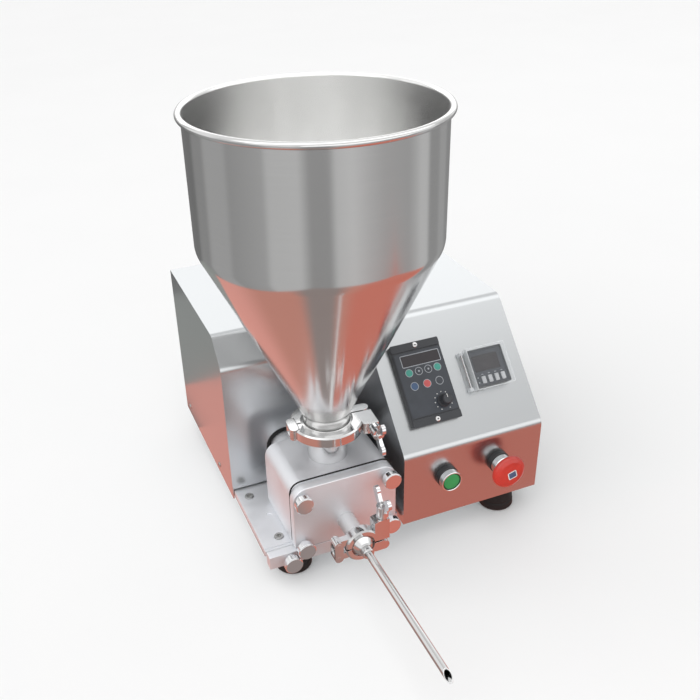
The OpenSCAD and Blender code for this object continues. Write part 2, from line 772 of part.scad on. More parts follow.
module pump_seals() color("#303030") place() {
  seal_y = cover_back + chamber_len;
  translate([pump_x, 0, rotor_z])
    along_y(cover_back + ring_end_play, cover_back + ring_t - ring_end_play) seal_ring(ring_play);
  for (x = [driven_x, drive_x]) ring_y(x, rotor_z, shaft_r + run_gap, seal_r - seat_gap,
    seal_y + bearing_end_play, seal_y + seal_w - bearing_end_play);
}

module pump_cover() color("#c8cbd0") place() difference() {
  pump_block(0, cover_front, cover_back);
  bar_y(pump_x, outlet_z, outlet_bore_r, cover_front - cut, cover_back + cut);
  for (p = stud_places) bar_y(p[0], p[1], stud_r + cap_play, cover_front - cut, cover_back + cut);
}

module cover_studs() color("gainsboro") place() for (p = stud_places)
  bar_y(p[0], p[1], stud_r, cover_front - stud_in_knob, cover_back + stud_depth - stud_end_gap);

// Knob nut: its seat is at Z = 0 and its face looks along +Z
knob_neck_r = 0.68 * knob_r;
knob_neck_h = 0.36 * knob_len;
knob_edge = 1.2;
knob_under_edge = 0.8;

module knob_form(bore_len) difference() {
  rotate_extrude() polygon([
    [0, fit_gap], [knob_neck_r, fit_gap], [knob_neck_r, knob_neck_h], [knob_r - knob_under_edge, knob_neck_h],
    [knob_r, knob_neck_h + knob_under_edge], [knob_r, knob_len - knob_edge], [knob_r - knob_edge, knob_len],
    [0, knob_len]
  ]);
  translate([0, 0, -cut]) cylinder(r = stud_r + run_gap, h = bore_len + cut);
}

module cover_knob(i) color("#d8d8d8") place()
  translate([stud_places[i][0], cover_front, stud_places[i][1]]) rotate([90, 0, 0]) knob_form(knob_bore_len);

module cover_knob_bottom_left() cover_knob(0);
module cover_knob_top_left() cover_knob(1);
module cover_knob_bottom_right() cover_knob(2);
module cover_knob_top_right() cover_knob(3);

bar_screw_len = bar_t - bar_back_wall - 1;

module bar_knob() color("#d8d8d8") place()
  translate([bar_knob_x, cover_front, bar_knob_z]) rotate([90, 0, 0]) {
    knob_form(0);
    translate([0, 0, -bar_screw_len]) cylinder(r = stud_r, h = bar_screw_len + cut);
  }

// Rotors, gears and shafts

function epicycloid(r, roll, t) = let (k = (r + roll) / roll)
  [(r + roll) * cos(t) - roll * cos(k * t), (r + roll) * sin(t) - roll * sin(k * t)];

function hypocycloid(r, roll, t) = let (k = (r - roll) / roll)
  [(r - roll) * cos(t) + roll * cos(k * t), (r - roll) * sin(t) - roll * sin(k * t)];

function turned(p, a) = [p[0] * cos(a) - p[1] * sin(a), p[0] * sin(a) + p[1] * cos(a)];

// A lobe is an epicycloid arch and the root beside it a hypocycloid arch of the same rolling circle
function rotor_path(steps) = let (arch = 180 / lobes) [
  for (k = [0 : lobes - 1]) each concat(
    [for (i = [0 : steps - 1])
      turned(epicycloid(pitch_r, lobe_roll_r, arch * i / steps), 2 * arch * k - arch / 2)],
    [for (i = [0 : steps - 1])
      turned(hypocycloid(pitch_r, lobe_roll_r, arch * i / steps), 2 * arch * k + arch / 2)])
];
rotor_shrink = 1 - rotor_gap / rotor_tip_r;
rotor_steps = 12;
rotor_front = cover_back + fit_gap;

module rotor(x) color("#d0d0d0") place() difference() {
  translate([x, 0, rotor_z])
    along_y(rotor_front, rotor_front + rotor_len) polygon(rotor_path(rotor_steps) * rotor_shrink);
  bar_y(x, rotor_z, shaft_r + seat_gap, cover_back, cover_back + chamber_len + cut);
}

module drive_rotor() rotor(drive_x);
module driven_rotor() rotor(driven_x);

module pump_shaft(x, end) color("#b8b8b8") place() bar_y(x, rotor_z, shaft_r, shaft_front, end);

module drive_shaft() pump_shaft(drive_x, drive_end);
module driven_shaft() pump_shaft(driven_x, housing_rear + bearing_w - bearing_gap);

function involute(a) = tan(a) * 180 / PI - a;

gear_base_r = pitch_r * cos(pressure_a);
gear_root_r = pitch_r - gear_root_depth * gear_module;
tooth_pitch_a = 360 / gear_teeth;
tooth_steps = 4;

// Half the angle that a tooth takes at radius r
function tooth_half_angle(r) =
  tooth_pitch_a / 4 + involute(pressure_a) - involute(acos(min(1, gear_base_r / r))) - gear_backlash;

// Points of one tooth's flank at angle a: side -1 runs outwards and side 1 inwards
function flank(a, side, steps) = [
  for (i = [0 : steps])
    let (k = side < 0 ? i : steps - i)
    let (r = gear_base_r + (gear_tip_r - gear_base_r) * k / steps)
    on_circle(r, a + side * tooth_half_angle(r))
];

function gear_path(steps) = let (foot_a = tooth_half_angle(gear_base_r)) [
  for (k = [0 : gear_teeth - 1]) let (a = tooth_pitch_a * k) each concat(
    [on_circle(gear_root_r, a - foot_a)], flank(a, -1, steps),
    flank(a, 1, steps), [on_circle(gear_root_r, a + foot_a)])
];

// The driven gear is turned by half a tooth so that the teeth mesh
module timing_gear(x, start_a) color("#a8a8a0") place() difference() {
  translate([x, 0, rotor_z]) along_y(gear_y, gear_y + gear_w) rotate(start_a) polygon(gear_path(tooth_steps));
  bar_y(x, rotor_z, shaft_r + seat_gap, gear_y - cut, gear_y + gear_w + cut);
}

module drive_timing_gear() timing_gear(drive_x, 0);
module driven_timing_gear() timing_gear(driven_x, tooth_pitch_a / 2);

module gear_housing() color("#c0c3c8") place() difference() {
  block_y(pump_x, rotor_z, housing_w, housing_h, housing_corner_r, pump_rear, housing_rear);
  block_y(pump_x, rotor_z, housing_w - 2 * housing_wall, housing_h - 2 * housing_wall,
    housing_corner_r - housing_wall, pump_rear + housing_front_t, housing_rear + cut);
  for (x = [driven_x, drive_x]) {
    bar_y(x, rotor_z, bearing_r, pump_rear + bearing_stop, housing_rear);
    bar_y(x, rotor_z, shaft_r + bore_room, pump_rear - cut, housing_rear);
  }
}

bracket_side = 8;
bracket_over = 6;
bracket_foot_w = 14;
bracket_foot_h = 8;
bracket_foot_front = bay_face_y + sheet_t + edging_t + fit_gap;
bracket_w = motor_size + 2 * bracket_side;
bracket_left = motor_x - bracket_w / 2;

module motor_bracket() color("#a8aab0") place() difference() {
  union() {
    translate([bracket_left, housing_rear, plate_top])
      cube([bracket_w, bracket_t, rotor_z - plate_top + motor_size / 2 + bracket_over]);
    for (x = [bracket_left, bracket_left + bracket_w - bracket_foot_w])
      translate([x, bracket_foot_front, plate_top])
        cube([bracket_foot_w, housing_rear - bracket_foot_front + cut, bracket_foot_h]);
  }
  for (x = [driven_x, drive_x]) bar_y(x, rotor_z, bearing_r, housing_rear - cut, housing_rear + bearing_w);
  bar_y(drive_x, rotor_z, shaft_r + bore_room, housing_rear, bracket_rear + cut);
}

module shaft_bearings() color("#909090") place()
  for (x = [driven_x, drive_x], y = [pump_rear + bearing_stop, housing_rear])
    ring_y(x, rotor_z, shaft_r + run_gap, bearing_r - seat_gap,
      y + bearing_end_play, y + bearing_w - bearing_end_play);

module gear_head() color("#9a9da2") place() difference() {
  block_y(motor_x, rotor_z, motor_size, motor_size, motor_corner_r, bracket_rear,
    bracket_rear + gear_head_len);
  bar_y(drive_x, rotor_z, shaft_r + run_gap, bracket_rear - cut, drive_end + cut);
}

motor_flange_t = 8;
motor_fins = 7;
motor_core_in = 4;
motor_fin_in = 1;
motor_y = bracket_rear + gear_head_len;
fin_step = (motor_len - 2 * motor_flange_t) / motor_fins;
fin_from = 0.3 * fin_step;
fin_to = 0.7 * fin_step;

module motor_body() color("#7d8085") place() {
  for (y = [motor_y, motor_y + motor_len - motor_flange_t])
    block_y(motor_x, rotor_z, motor_size, motor_size, motor_corner_r, y, y + motor_flange_t);
  bar_y(motor_x, rotor_z, motor_size / 2 - motor_core_in, motor_y, motor_y + motor_len);
  for (i = [0 : motor_fins - 1]) let (y = motor_y + motor_flange_t + fin_step * i)
    bar_y(motor_x, rotor_z, motor_size / 2 - motor_fin_in, y + fin_from, y + fin_to);
}

// Rubber edging with a lip on each side of the sheet
module housing_trim_ring() color("#202020") place() difference() {
  union() {
    housing_opening(edging_t - seat_gap, bay_face_y - edging_t, bay_face_y + sheet_t + edging_t);
    housing_opening(2 * edging_t, bay_face_y - edging_t, bay_face_y - seat_gap);
    housing_opening(2 * edging_t, bay_face_y + sheet_t + seat_gap, bay_face_y + sheet_t + edging_t);
  }
  housing_opening(0, bay_face_y - edging_t - cut, bay_face_y + sheet_t + edging_t + cut);
}

// Hopper and inlet

// Profile of a clamp flange whose sealing face is at Z = 0 and whose tube runs up
function flange_points(flange_r, tube_r) =
  let (slope_r = max(tube_r + flange_step, flange_r - flange_slope_w)) [
  [flange_r, 0], [flange_r, flange_edge],
  [slope_r, flange_edge + (flange_r - slope_r) * tan(flange_angle)], [tube_r, flange_edge + flange_rise]
];

// The same profile hanging down from a sealing face at height z
function flange_points_below(flange_r, tube_r, z) =
  [for (i = [3 : -1 : 0]) let (p = flange_points(flange_r, tube_r)[i]) [p[0], z - p[1]]];

module inlet_port() color("#d2d4d6") place() translate([pump_x, hopper_y, 0]) rotate_extrude() polygon(concat(
  [[inlet_r - inlet_wall, pump_top], [inlet_r, pump_top]],
  flange_points_below(hopper_flange_r, inlet_r, hopper_flange_z),
  [[inlet_r - inlet_wall, hopper_flange_z]]));

gasket_in = 1.5;

module hopper_gasket() color("white") place()
  translate([pump_x, hopper_y, hopper_flange_z + seat_gap]) difference() {
    cylinder(r = hopper_flange_r - gasket_in, h = gasket_t - 2 * seat_gap);
    translate([0, 0, -cut]) cylinder(r = neck_r - hopper_t, h = gasket_t + 2 * cut);
  }

// Outline of the hopper's side down to its axis, inset by i
hopper_steps = 8;

function hopper_side(i) = round_path(
  [
    [neck_r - i, hopper_foot_z], [neck_r - i, cone_z], [hopper_r - i, cyl_z], [hopper_r - i, rim_z],
    [0, rim_z], [0, hopper_foot_z]
  ],
  [0, neck_bend_r + i, shoulder_bend_r - i, 0, 0, 0], hopper_steps);

// Inside of the hopper, open below and above
function hopper_inside() = let (side = hopper_side(hopper_t)) concat(
  [[0, hopper_foot_z - cut], [neck_r - hopper_t, hopper_foot_z - cut]],
  [for (i = [1 : len(side) - 4]) side[i]],
  [[hopper_r - hopper_t, rim_z + 2 * bead_r], [0, rim_z + 2 * bead_r]]);

module hopper_flange() rotate_extrude() polygon(concat(
  [[neck_r - hopper_t / 2, hopper_foot_z]],
  [for (p = flange_points(hopper_flange_r, neck_r)) [p[0], hopper_foot_z + p[1]]],
  [[neck_r - hopper_t / 2, hopper_foot_z + flange_edge + flange_rise]]));

module hopper() color("#d6d8da") place() translate([pump_x, hopper_y, 0]) difference() {
  union() {
    rotate_extrude() polygon(hopper_side(0));
    hopper_flange();
    translate([0, 0, rim_z]) rotate_extrude()
      translate([hopper_r - hopper_t + bead_r, 0]) circle(r = bead_r);
  }
  rotate_extrude() polygon(hopper_inside());
}

// Clamps. In a clamp's own frame the ring's axis is Z, the hinge is at -X and the swing bolt at +X.
// The half at -Y has the slotted ear that the nut bears on, the half at +Y has the bolt's pivot.

// Half height of the groove at radius r, with play
function groove(flange_r, r) =
  gasket_t / 2 + flange_edge + (flange_r - r) * tan(flange_angle) + groove_play;

module clamp_ring(flange_r, ring_r, lip) {
  lip_r = flange_r - lip;
  bottom_r = flange_r + groove_room;
  rotate_extrude() polygon([
    [lip_r, groove(flange_r, lip_r)], [bottom_r, groove(flange_r, flange_r)],
    [bottom_r, -groove(flange_r, flange_r)], [lip_r, -groove(flange_r, lip_r)],
    [lip_r, -clamp_half_h], [ring_r - ring_edge, -clamp_half_h], [ring_r, -clamp_half_h + ring_edge],
    [ring_r, clamp_half_h - ring_edge], [ring_r - ring_edge, clamp_half_h], [lip_r, clamp_half_h]
  ]);
}

// Everything on one side of the parting plane
module half_space(side) translate([-reach / 2, side > 0 ? split_gap / 2 : -reach - split_gap / 2, -reach / 2])
  cube([reach, reach, reach]);

module hinge_lug(ring_r, hinge, side) translate([-ring_r - hinge[0], side * hinge[1], -lug_half_h]) {
  cylinder(r = link_r, h = 2 * lug_half_h);
  translate([0, -link_r + lug_shoulder, 0])
    cube([max(hinge[0] + lug_root, link_r), 2 * (link_r - lug_shoulder), 2 * lug_half_h]);
}

// Room for a pin and for the link's plates above and below the lugs
module hinge_room(ring_r, hinge, side) {
  plate_w = 2 * link_r + cut;
  pin_x = -ring_r - hinge[0];
  translate([pin_x, side * hinge[1], -2 * clamp_half_h])
    cylinder(r = pin_r + pin_play, h = 4 * clamp_half_h);
  for (z = [lug_half_h, -lug_half_h - clamp_half_h])
    translate([pin_x - link_r - 2 * cut, -hinge[1] - plate_w / 2, z])
      cube([plate_w + 1.5 * cut, 2 * hinge[1] + plate_w, clamp_half_h]);
}

module clamp_half(flange_r, ring_r, lip, hinge, side) difference() {
  union() {
    intersection() {
      clamp_ring(flange_r, ring_r, lip);
      half_space(side);
    }
    difference() {
      hinge_lug(ring_r, hinge, side);
      ring_inside(ring_r - ring_edge);
    }
  }
  hinge_room(ring_r, hinge, side);
}

module ring_inside(r) translate([0, 0, -2 * clamp_half_h]) cylinder(r = r, h = 4 * clamp_half_h);

module clamp_fork_half(flange_r, ring_r, lip, hinge) {
  bolt_x = ring_r + bolt_side;
  slot_half = bolt_r + slot_play;
  clamp_half(flange_r, ring_r, lip, hinge, -1);
  difference() {
    intersection() {
      translate([ring_r - ear_root, -nut_lift - ear_root, -clamp_half_h])
        cube([bolt_side + ear_root + ear_r, nut_lift + ear_root - split_gap / 2, 2 * clamp_half_h]);
      // The seat of the nut is round about the bolt's pivot, so the bolt can swing with its nut on
      translate([bolt_x, pivot_drop, -clamp_half_h])
        cylinder(r = pivot_drop + nut_lift, h = 2 * clamp_half_h);
    }
    ring_inside(ring_r - ring_edge);
    translate([bolt_x - slot_half, -reach, -slot_half]) cube([reach, reach, 2 * slot_half]);
  }
}

module clamp_pivot_half(flange_r, ring_r, lip, hinge) {
  bolt_x = ring_r + bolt_side;
  slot_half = eye_half_h + fit_gap;
  clamp_half(flange_r, ring_r, lip, hinge, 1);
  difference() {
    union() {
      translate([bolt_x, pivot_drop, -clamp_half_h]) cylinder(r = ear_r, h = 2 * clamp_half_h);
      translate([ring_r - ear_root, split_gap / 2, -clamp_half_h])
        cube([bolt_side + ear_root, pivot_drop + ear_r - split_gap / 2, 2 * clamp_half_h]);
    }
    ring_inside(ring_r - ring_edge);
    translate([bolt_x - eye_r - eye_room, -cut, -slot_half]) cube([reach, reach, 2 * slot_half]);
  }
  translate([bolt_x, pivot_drop, -clamp_half_h]) cylinder(r = pin_r, h = 2 * clamp_half_h);
}

// Two pins and the plates above and below the lugs that join them
module clamp_link(ring_r, hinge) translate([-ring_r - hinge[0], 0, 0]) {
  for (side = [-1, 1]) translate([0, side * hinge[1], -clamp_half_h])
    cylinder(r = pin_r, h = 2 * clamp_half_h);
  for (z = [lug_half_h + link_gap, -lug_half_h - link_gap - link_t]) {
    for (side = [-1, 1]) translate([0, side * hinge[1], z]) cylinder(r = link_r, h = link_t);
    translate([-link_r, -hinge[1], z]) cube([2 * link_r, 2 * hinge[1], link_t]);
  }
}

module clamp_bolt(ring_r) translate([ring_r + bolt_side, pivot_drop, 0]) difference() {
  union() {
    translate([0, 0, -eye_half_h]) cylinder(r = eye_r, h = 2 * eye_half_h);
    rotate([90, 0, 0]) cylinder(r = bolt_r, h = pivot_drop + nut_lift + nut_hub_len + bolt_over);
  }
  translate([0, 0, -eye_half_h - cut]) cylinder(r = pin_r + run_gap, h = 2 * (eye_half_h + cut));
}

module wing() rotate([90, 0, 0]) linear_extrude(wing_t, center = true) translate(wing_root) rotate(wing_a) {
  translate([-bolt_over, -wing_neck]) square([wing_arm + bolt_over, 2 * wing_neck]);
  translate([wing_arm, 0]) circle(r = wing_tip_r);
}

// Wing nut: hub along -Y from its seat, wings to both sides along Z
module wing_nut(ring_r)
  translate([ring_r + bolt_side, -nut_lift - fit_gap, 0]) rotate([90, 0, 0]) rotate(90) difference() {
    union() {
      cylinder(r = nut_hub_r, h = nut_hub_len);
      wing();
      mirror([1, 0, 0]) wing();
    }
    translate([0, 0, -cut]) cylinder(r = bolt_r + run_gap, h = reach);
  }

module hopper_clamp_front() color("#dcdcdc") place() at_hopper_clamp()
  clamp_fork_half(hopper_flange_r, hopper_clamp_r, hopper_lip, hopper_link);
module hopper_clamp_rear() color("#dcdcdc") place() at_hopper_clamp()
  clamp_pivot_half(hopper_flange_r, hopper_clamp_r, hopper_lip, hopper_link);
module hopper_clamp_link() color("#d0d0d0") place() at_hopper_clamp() clamp_link(hopper_clamp_r, hopper_link);
module hopper_clamp_bolt() color("#d0d0d0") place() at_hopper_clamp() clamp_bolt(hopper_clamp_r);
module hopper_wing_nut() color("#dcdcdc") place() at_hopper_clamp() wing_nut(hopper_clamp_r);

module nozzle_clamp_upper() color("#dcdcdc") place() at_nozzle_clamp()
  clamp_fork_half(nozzle_flange_r, nozzle_clamp_r, nozzle_lip, nozzle_link);
module nozzle_clamp_lower() color("#dcdcdc") place() at_nozzle_clamp()
  clamp_pivot_half(nozzle_flange_r, nozzle_clamp_r, nozzle_lip, nozzle_link);
module nozzle_clamp_link() color("#d0d0d0") place() at_nozzle_clamp() clamp_link(nozzle_clamp_r, nozzle_link);
module nozzle_clamp_bolt() color("#d0d0d0") place() at_nozzle_clamp() clamp_bolt(nozzle_clamp_r);
module nozzle_wing_nut() color("#dcdcdc") place() at_nozzle_clamp() wing_nut(nozzle_clamp_r);

// Outlet, nozzle and needle

module at_outlet() translate([pump_x, 0, outlet_z]) rotate([90, 0, 0]) children();

module outlet_tube() color("#d2d4d6") place() at_outlet() rotate_extrude() polygon(concat(
  [[outlet_bore_r, -cover_front], [outlet_r, -cover_front]],
  flange_points_below(nozzle_flange_r, outlet_r, -outlet_face_y),
  [[outlet_bore_r, -outlet_face_y]]));

module nozzle_gasket() color("white") place()
  ring_y(pump_x, outlet_z, outlet_bore_r, nozzle_flange_r - cut, nozzle_back_y + seat_gap,
    outlet_face_y - seat_gap);

nozzle_boss_r = needle_r + 2.5;
nozzle_slope_w = nozzle_lip + fit_gap;
nozzle_cone_end = 0.55 * nozzle_len;
nozzle_cone_foot = 1.2;
nozzle_tip_edge = 1;
needle_socket = 0.5 * nozzle_len;
nozzle_funnel_end = 0.4 * nozzle_len;

module nozzle_cap() color("#d8dadc") place() at_outlet() translate([0, 0, -nozzle_back_y])
  rotate_extrude() polygon([
  [outlet_bore_r, 0], [nozzle_flange_r, 0], [nozzle_flange_r, flange_edge],
  [nozzle_flange_r - nozzle_slope_w, flange_edge + nozzle_slope_w * tan(flange_angle)],
  [nozzle_boss_r + nozzle_cone_foot, nozzle_cone_end], [nozzle_boss_r, nozzle_cone_end + nozzle_cone_foot],
  [nozzle_boss_r, nozzle_len - nozzle_tip_edge], [nozzle_boss_r - nozzle_tip_edge, nozzle_len],
  [needle_r + seat_gap, nozzle_len], [needle_r + seat_gap, nozzle_funnel_end]
]);

tip_block = 40;

module needle() color("#d8dadc") place() difference() {
  bar_y(pump_x, outlet_z, needle_r, needle_tip_y, nozzle_tip_y + needle_socket);
  bar_y(pump_x, outlet_z, needle_r - needle_wall, needle_tip_y - cut, nozzle_tip_y + nozzle_len);
  // The tip is cut on a slant that opens downwards
  translate([pump_x, needle_tip_y, outlet_z + needle_r]) rotate([needle_tip_angle - 90, 0, 0])
    translate([-tip_block / 2, -tip_block, -1.5 * tip_block]) cube([tip_block, tip_block, 2 * tip_block]);
}

// Controls on the sloped panel

controller_corner_r = 3;
dial_x = 13.5;
dial_s = -25.3;
dial_h = 13;
dial_skirt = 1;
dial_skirt_h = 2;
dial_edge = 1;
dial_taper = 0.8;
dial_stem_r = 3;
dial_stem_in = 3;
dial_hole_in = 4;

module controller_body() color("#1c1d20") place() on_slope(controller_x, controller_s) difference() {
  union() {
    linear_extrude(controller_t) polygon(box_path(controller_w, controller_h, controller_corner_r));
    translate([-controller_box[0] / 2, -controller_box[1] / 2, -controller_depth])
      cube([controller_box[0], controller_box[1], controller_depth + cut]);
  }
  translate([dial_x, dial_s, -dial_hole_in])
    cylinder(r = dial_stem_r + run_gap, h = controller_t + dial_hole_in + cut);
}

module speed_knob() color("#181818") place() on_slope(controller_x + dial_x, controller_s + dial_s) union() {
  translate([0, 0, controller_t]) rotate_extrude() polygon([
    [0, fit_gap], [dial_r + dial_skirt, fit_gap], [dial_r + dial_skirt, dial_skirt_h],
    [dial_r, dial_skirt_h + dial_skirt], [dial_r - dial_taper, dial_h - dial_edge],
    [dial_r - dial_taper - dial_edge, dial_h], [0, dial_h]
  ]);
  translate([0, 0, -dial_stem_in]) cylinder(r = dial_stem_r, h = controller_t + dial_stem_in + cut);
}

counter_corner_r = 2;
keys = 4;
key_w = 4.8;
key_h = 8.5;
key_step = 8.4;
key_s = -14.2;
key_middle = 1.1;
key_corner_r = 0.8;
key_well = 3;
key_floor_gap = 1.4;
key_proud = 0.8;
hinge_out = 5.5;
hinge_x = -counter_w / 2 - hinge_out;
hinge_z = 5;
hinge_pin_r = 1.4;
hinge_post = [5, 4];
hinge_post_in = 1;
hinge_foot = [3.5, 1, 1.6];
barrel_r = 3;
barrel_gap = 1;
barrel_half = counter_w / 2 - hinge_post_in - hinge_post[1] / 2 - barrel_gap;
cover_wall = 2;
cover_left = -counter_w / 2 - fit_gap - cover_wall;
cover_right = counter_w / 2 + 3;
cover_h = counter_w + 5.4;
cover_low = 2;
cover_top = counter_t + 3.6;
cover_web_h = 4;

function key_x(i) = key_middle + (i - (keys - 1) / 2) * key_step;

// Round bar along the hinge of the clear cover, from -half to half
module hinge_bar(r, half) translate([hinge_x, half, hinge_z]) rotate([90, 0, 0])
  cylinder(r = r, h = 2 * half);

module key_well_cut(i) translate([key_x(i), key_s, counter_t - key_well])
  linear_extrude(key_well + cut) square([key_w + 2 * fit_gap, key_h + 2 * fit_gap], center = true);

module counter_body() color("#202226") place() on_slope(counter_x, counter_s) {
  difference() {
    union() {
      linear_extrude(counter_t) polygon(box_path(counter_w, counter_w, counter_corner_r));
      translate([-counter_box / 2, -counter_box / 2, -counter_depth])
        cube([counter_box, counter_box, counter_depth + cut]);
      translate([hinge_x - hinge_foot[0], -counter_w / 2 - hinge_foot[1], 0])
        cube([-hinge_x + hinge_foot[0], counter_w + 2 * hinge_foot[1], hinge_foot[2]]);
    }
    for (i = [0 : keys - 1]) key_well_cut(i);
  }
  // Hinge posts and pin for the clear cover
  for (side = [-1, 1]) translate([hinge_x, side * (counter_w / 2 - hinge_post_in), 0]) {
    translate([-hinge_post[0] / 2, -hinge_post[1] / 2, 0]) cube([hinge_post[0], hinge_post[1], hinge_z]);
    translate([0, hinge_post[1] / 2, hinge_z]) rotate([90, 0, 0])
      cylinder(d = hinge_post[0], h = hinge_post[1]);
  }
  hinge_bar(hinge_pin_r, counter_w / 2 - hinge_post_in);
}

module counter_key(i) color("white") place() on_slope(counter_x + key_x(i), counter_s + key_s)
  translate([0, 0, counter_t - key_well + key_floor_gap])
    linear_extrude(key_well - key_floor_gap + key_proud) polygon(box_path(key_w, key_h, key_corner_r));

module counter_key_1() counter_key(0);
module counter_key_2() counter_key(1);
module counter_key_3() counter_key(2);
module counter_key_4() counter_key(3);

module counter_cover() color([0.85, 0.9, 0.95, 0.4]) place() on_slope(counter_x, counter_s) difference() {
  union() {
    difference() {
      translate([cover_left, -cover_h / 2, cover_low])
        cube([cover_right - cover_left, cover_h, cover_top - cover_low]);
      translate([cover_left + cover_wall, -cover_h / 2 + cover_wall, -cut])
        cube([cover_right - cover_left - 2 * cover_wall, cover_h - 2 * cover_wall,
          cover_top - cover_wall + cut]);
      // The wall beside the hinge ends at its axis, so that it clears the counter as the cover opens
      translate([cover_left - cut, -counter_w / 2 - fit_gap, -cut])
        cube([cover_wall + 2 * cut, counter_w + 2 * fit_gap, hinge_z + cut]);
    }
    hinge_bar(barrel_r, barrel_half);
    translate([hinge_x, -barrel_half, hinge_z - cut])
      cube([cover_left - hinge_x + cut, 2 * barrel_half, cover_web_h]);
  }
  hinge_bar(hinge_pin_r + run_gap, counter_w / 2);
}

// Buttons on the upright panel

button_play = 0.2;
switch_r = button_hole_r - button_play;
start_travel = 3;
start_flange = 0.5;
start_flange_h = 2;
start_step_h = 3.2;
start_step = 0.2;
start_edge = 0.8;
start_cap_r = start_r - start_rim;
start_cap_edge = 0.8;
start_cap_in = 0.6;
start_seat = 1.5;
start_stem_r = 4;
start_stem_in = 8;
start_stem_hole = 12;
start_cap_z = start_seat + start_travel + 0.5;

module start_button_bezel() color("#c9ccd0") place() on_front(start_x, button_z) difference() {
  rotate_extrude() polygon([
    [0, -switch_depth], [switch_r, -switch_depth], [switch_r, 0], [start_r + start_flange, 0],
    [start_r + start_flange, start_flange_h], [start_r + start_step, start_step_h],
    [start_r, start_h - start_edge], [start_r - start_edge, start_h],
    [start_cap_r + fit_gap, start_h - start_cap_in], [0, start_h - start_cap_in]
  ]);
  translate([0, 0, start_seat]) cylinder(r = start_cap_r + fit_gap, h = start_h);
  translate([0, 0, -start_stem_hole]) cylinder(r = start_stem_r + run_gap, h = start_stem_hole + start_h);
}

module start_button_cap() color("#1f8a46") place() on_front(start_x, button_z) {
  rotate_extrude() polygon([
    [0, start_cap_z], [start_cap_r, start_cap_z], [start_cap_r, start_h - start_cap_in - start_cap_edge],
    [start_cap_r - start_cap_edge, start_h - start_cap_in], [0, start_h - start_cap_in]
  ]);
  translate([0, 0, -start_stem_in]) cylinder(r = start_stem_r, h = start_stem_in + start_cap_z + cut);
}

stop_travel = 4;
stop_head_gap = 0.6;
stop_head_z = stop_collar_h + stop_travel + stop_head_gap;
stop_head_h = 11;
collar_flange_r = 13;
collar_foot_r = 12.2;
collar_r = 12;
collar_edge = 1;
collar_flange_h = 2.5;
stem_r = 6;
stem_top_r = 4;
stem_in = 14;
stem_hole = 20;
stem_top_len = 6;

module stop_button_collar() color("#3a3c40") place() on_front(stop_x, button_z) difference() {
  rotate_extrude() polygon([
    [0, -switch_depth], [switch_r, -switch_depth], [switch_r, 0], [collar_flange_r, 0],
    [collar_flange_r, collar_flange_h], [collar_foot_r, collar_flange_h + collar_edge],
    [collar_r, stop_collar_h - collar_edge], [collar_r - collar_edge, stop_collar_h], [0, stop_collar_h]
  ]);
  translate([0, 0, -stem_hole]) cylinder(r = stem_r + run_gap, h = stem_hole + stop_collar_h + cut);
}

module stop_button_stem() color("#55585c") place() on_front(stop_x, button_z) union() {
  translate([0, 0, -stem_in]) cylinder(r = stem_r, h = stem_in + stop_head_z - fit_gap);
  translate([0, 0, stop_head_z - cut]) cylinder(r = stem_top_r, h = stem_top_len + cut);
}

// Mushroom profile: shares of its radius, and heights above its underside
module stop_button_head() color("#c8281e") place() on_front(stop_x, button_z)
  translate([0, 0, stop_head_z]) difference() {
  rotate_extrude() polygon([
    [0, 0], [0.55 * stop_r, 0], [0.9 * stop_r, 0.09 * stop_head_h], [stop_r, 0.27 * stop_head_h],
    [stop_r, 0.5 * stop_head_h], [0.93 * stop_r, 0.73 * stop_head_h], [0.75 * stop_r, 0.91 * stop_head_h],
    [0.5 * stop_r, stop_head_h], [0, stop_head_h]
  ]);
  translate([0, 0, -cut]) cylinder(r = stem_top_r + run_gap, h = stem_top_len + cut + fit_gap);
}

// Mains inlet in the rear cover

inlet_depth = 15;
inlet_floor_t = 2;
inlet_rim = 4;
inlet_corner_r = 3;
socket_half = [12, 8];
socket_slope = [7, 3];
socket_corner_r = 1;
socket_steps = 3;
blade = [2, 4, 8];
blade_side = 7;
blade_rise = 2;

function socket_path() = round_path(
  [
    [-socket_half[0], -socket_half[1]], [socket_half[0], -socket_half[1]], [socket_half[0], socket_slope[1]],
    [socket_slope[0], socket_half[1]], [-socket_slope[0], socket_half[1]], [-socket_half[0], socket_slope[1]]
  ],
  [for (i = [0 : 5]) socket_corner_r], socket_steps);

module power_inlet() color("#202020") place()
  translate([inlet_x, cabinet_d + sheet_t, inlet_z]) rotate([90, 0, 180]) {
    difference() {
      union() {
        linear_extrude(inlet_flange_t)
          polygon(box_path(inlet_w + 2 * inlet_rim, inlet_h + 2 * inlet_rim, inlet_corner_r));
        translate([-inlet_w / 2, -inlet_h / 2, -inlet_depth - inlet_floor_t])
          cube([inlet_w, inlet_h, inlet_depth + inlet_floor_t + cut]);
      }
      translate([0, 0, -inlet_depth]) linear_extrude(inlet_depth + 2 * inlet_flange_t) polygon(socket_path());
    }
    for (p = [[-blade_side, -blade_rise], [0, blade_rise], [blade_side, -blade_rise]])
      translate([p[0] - blade[0] / 2, p[1] - blade[1] / 2, -inlet_depth - cut])
        cube([blade[0], blade[1], blade[2] + cut]);
  }

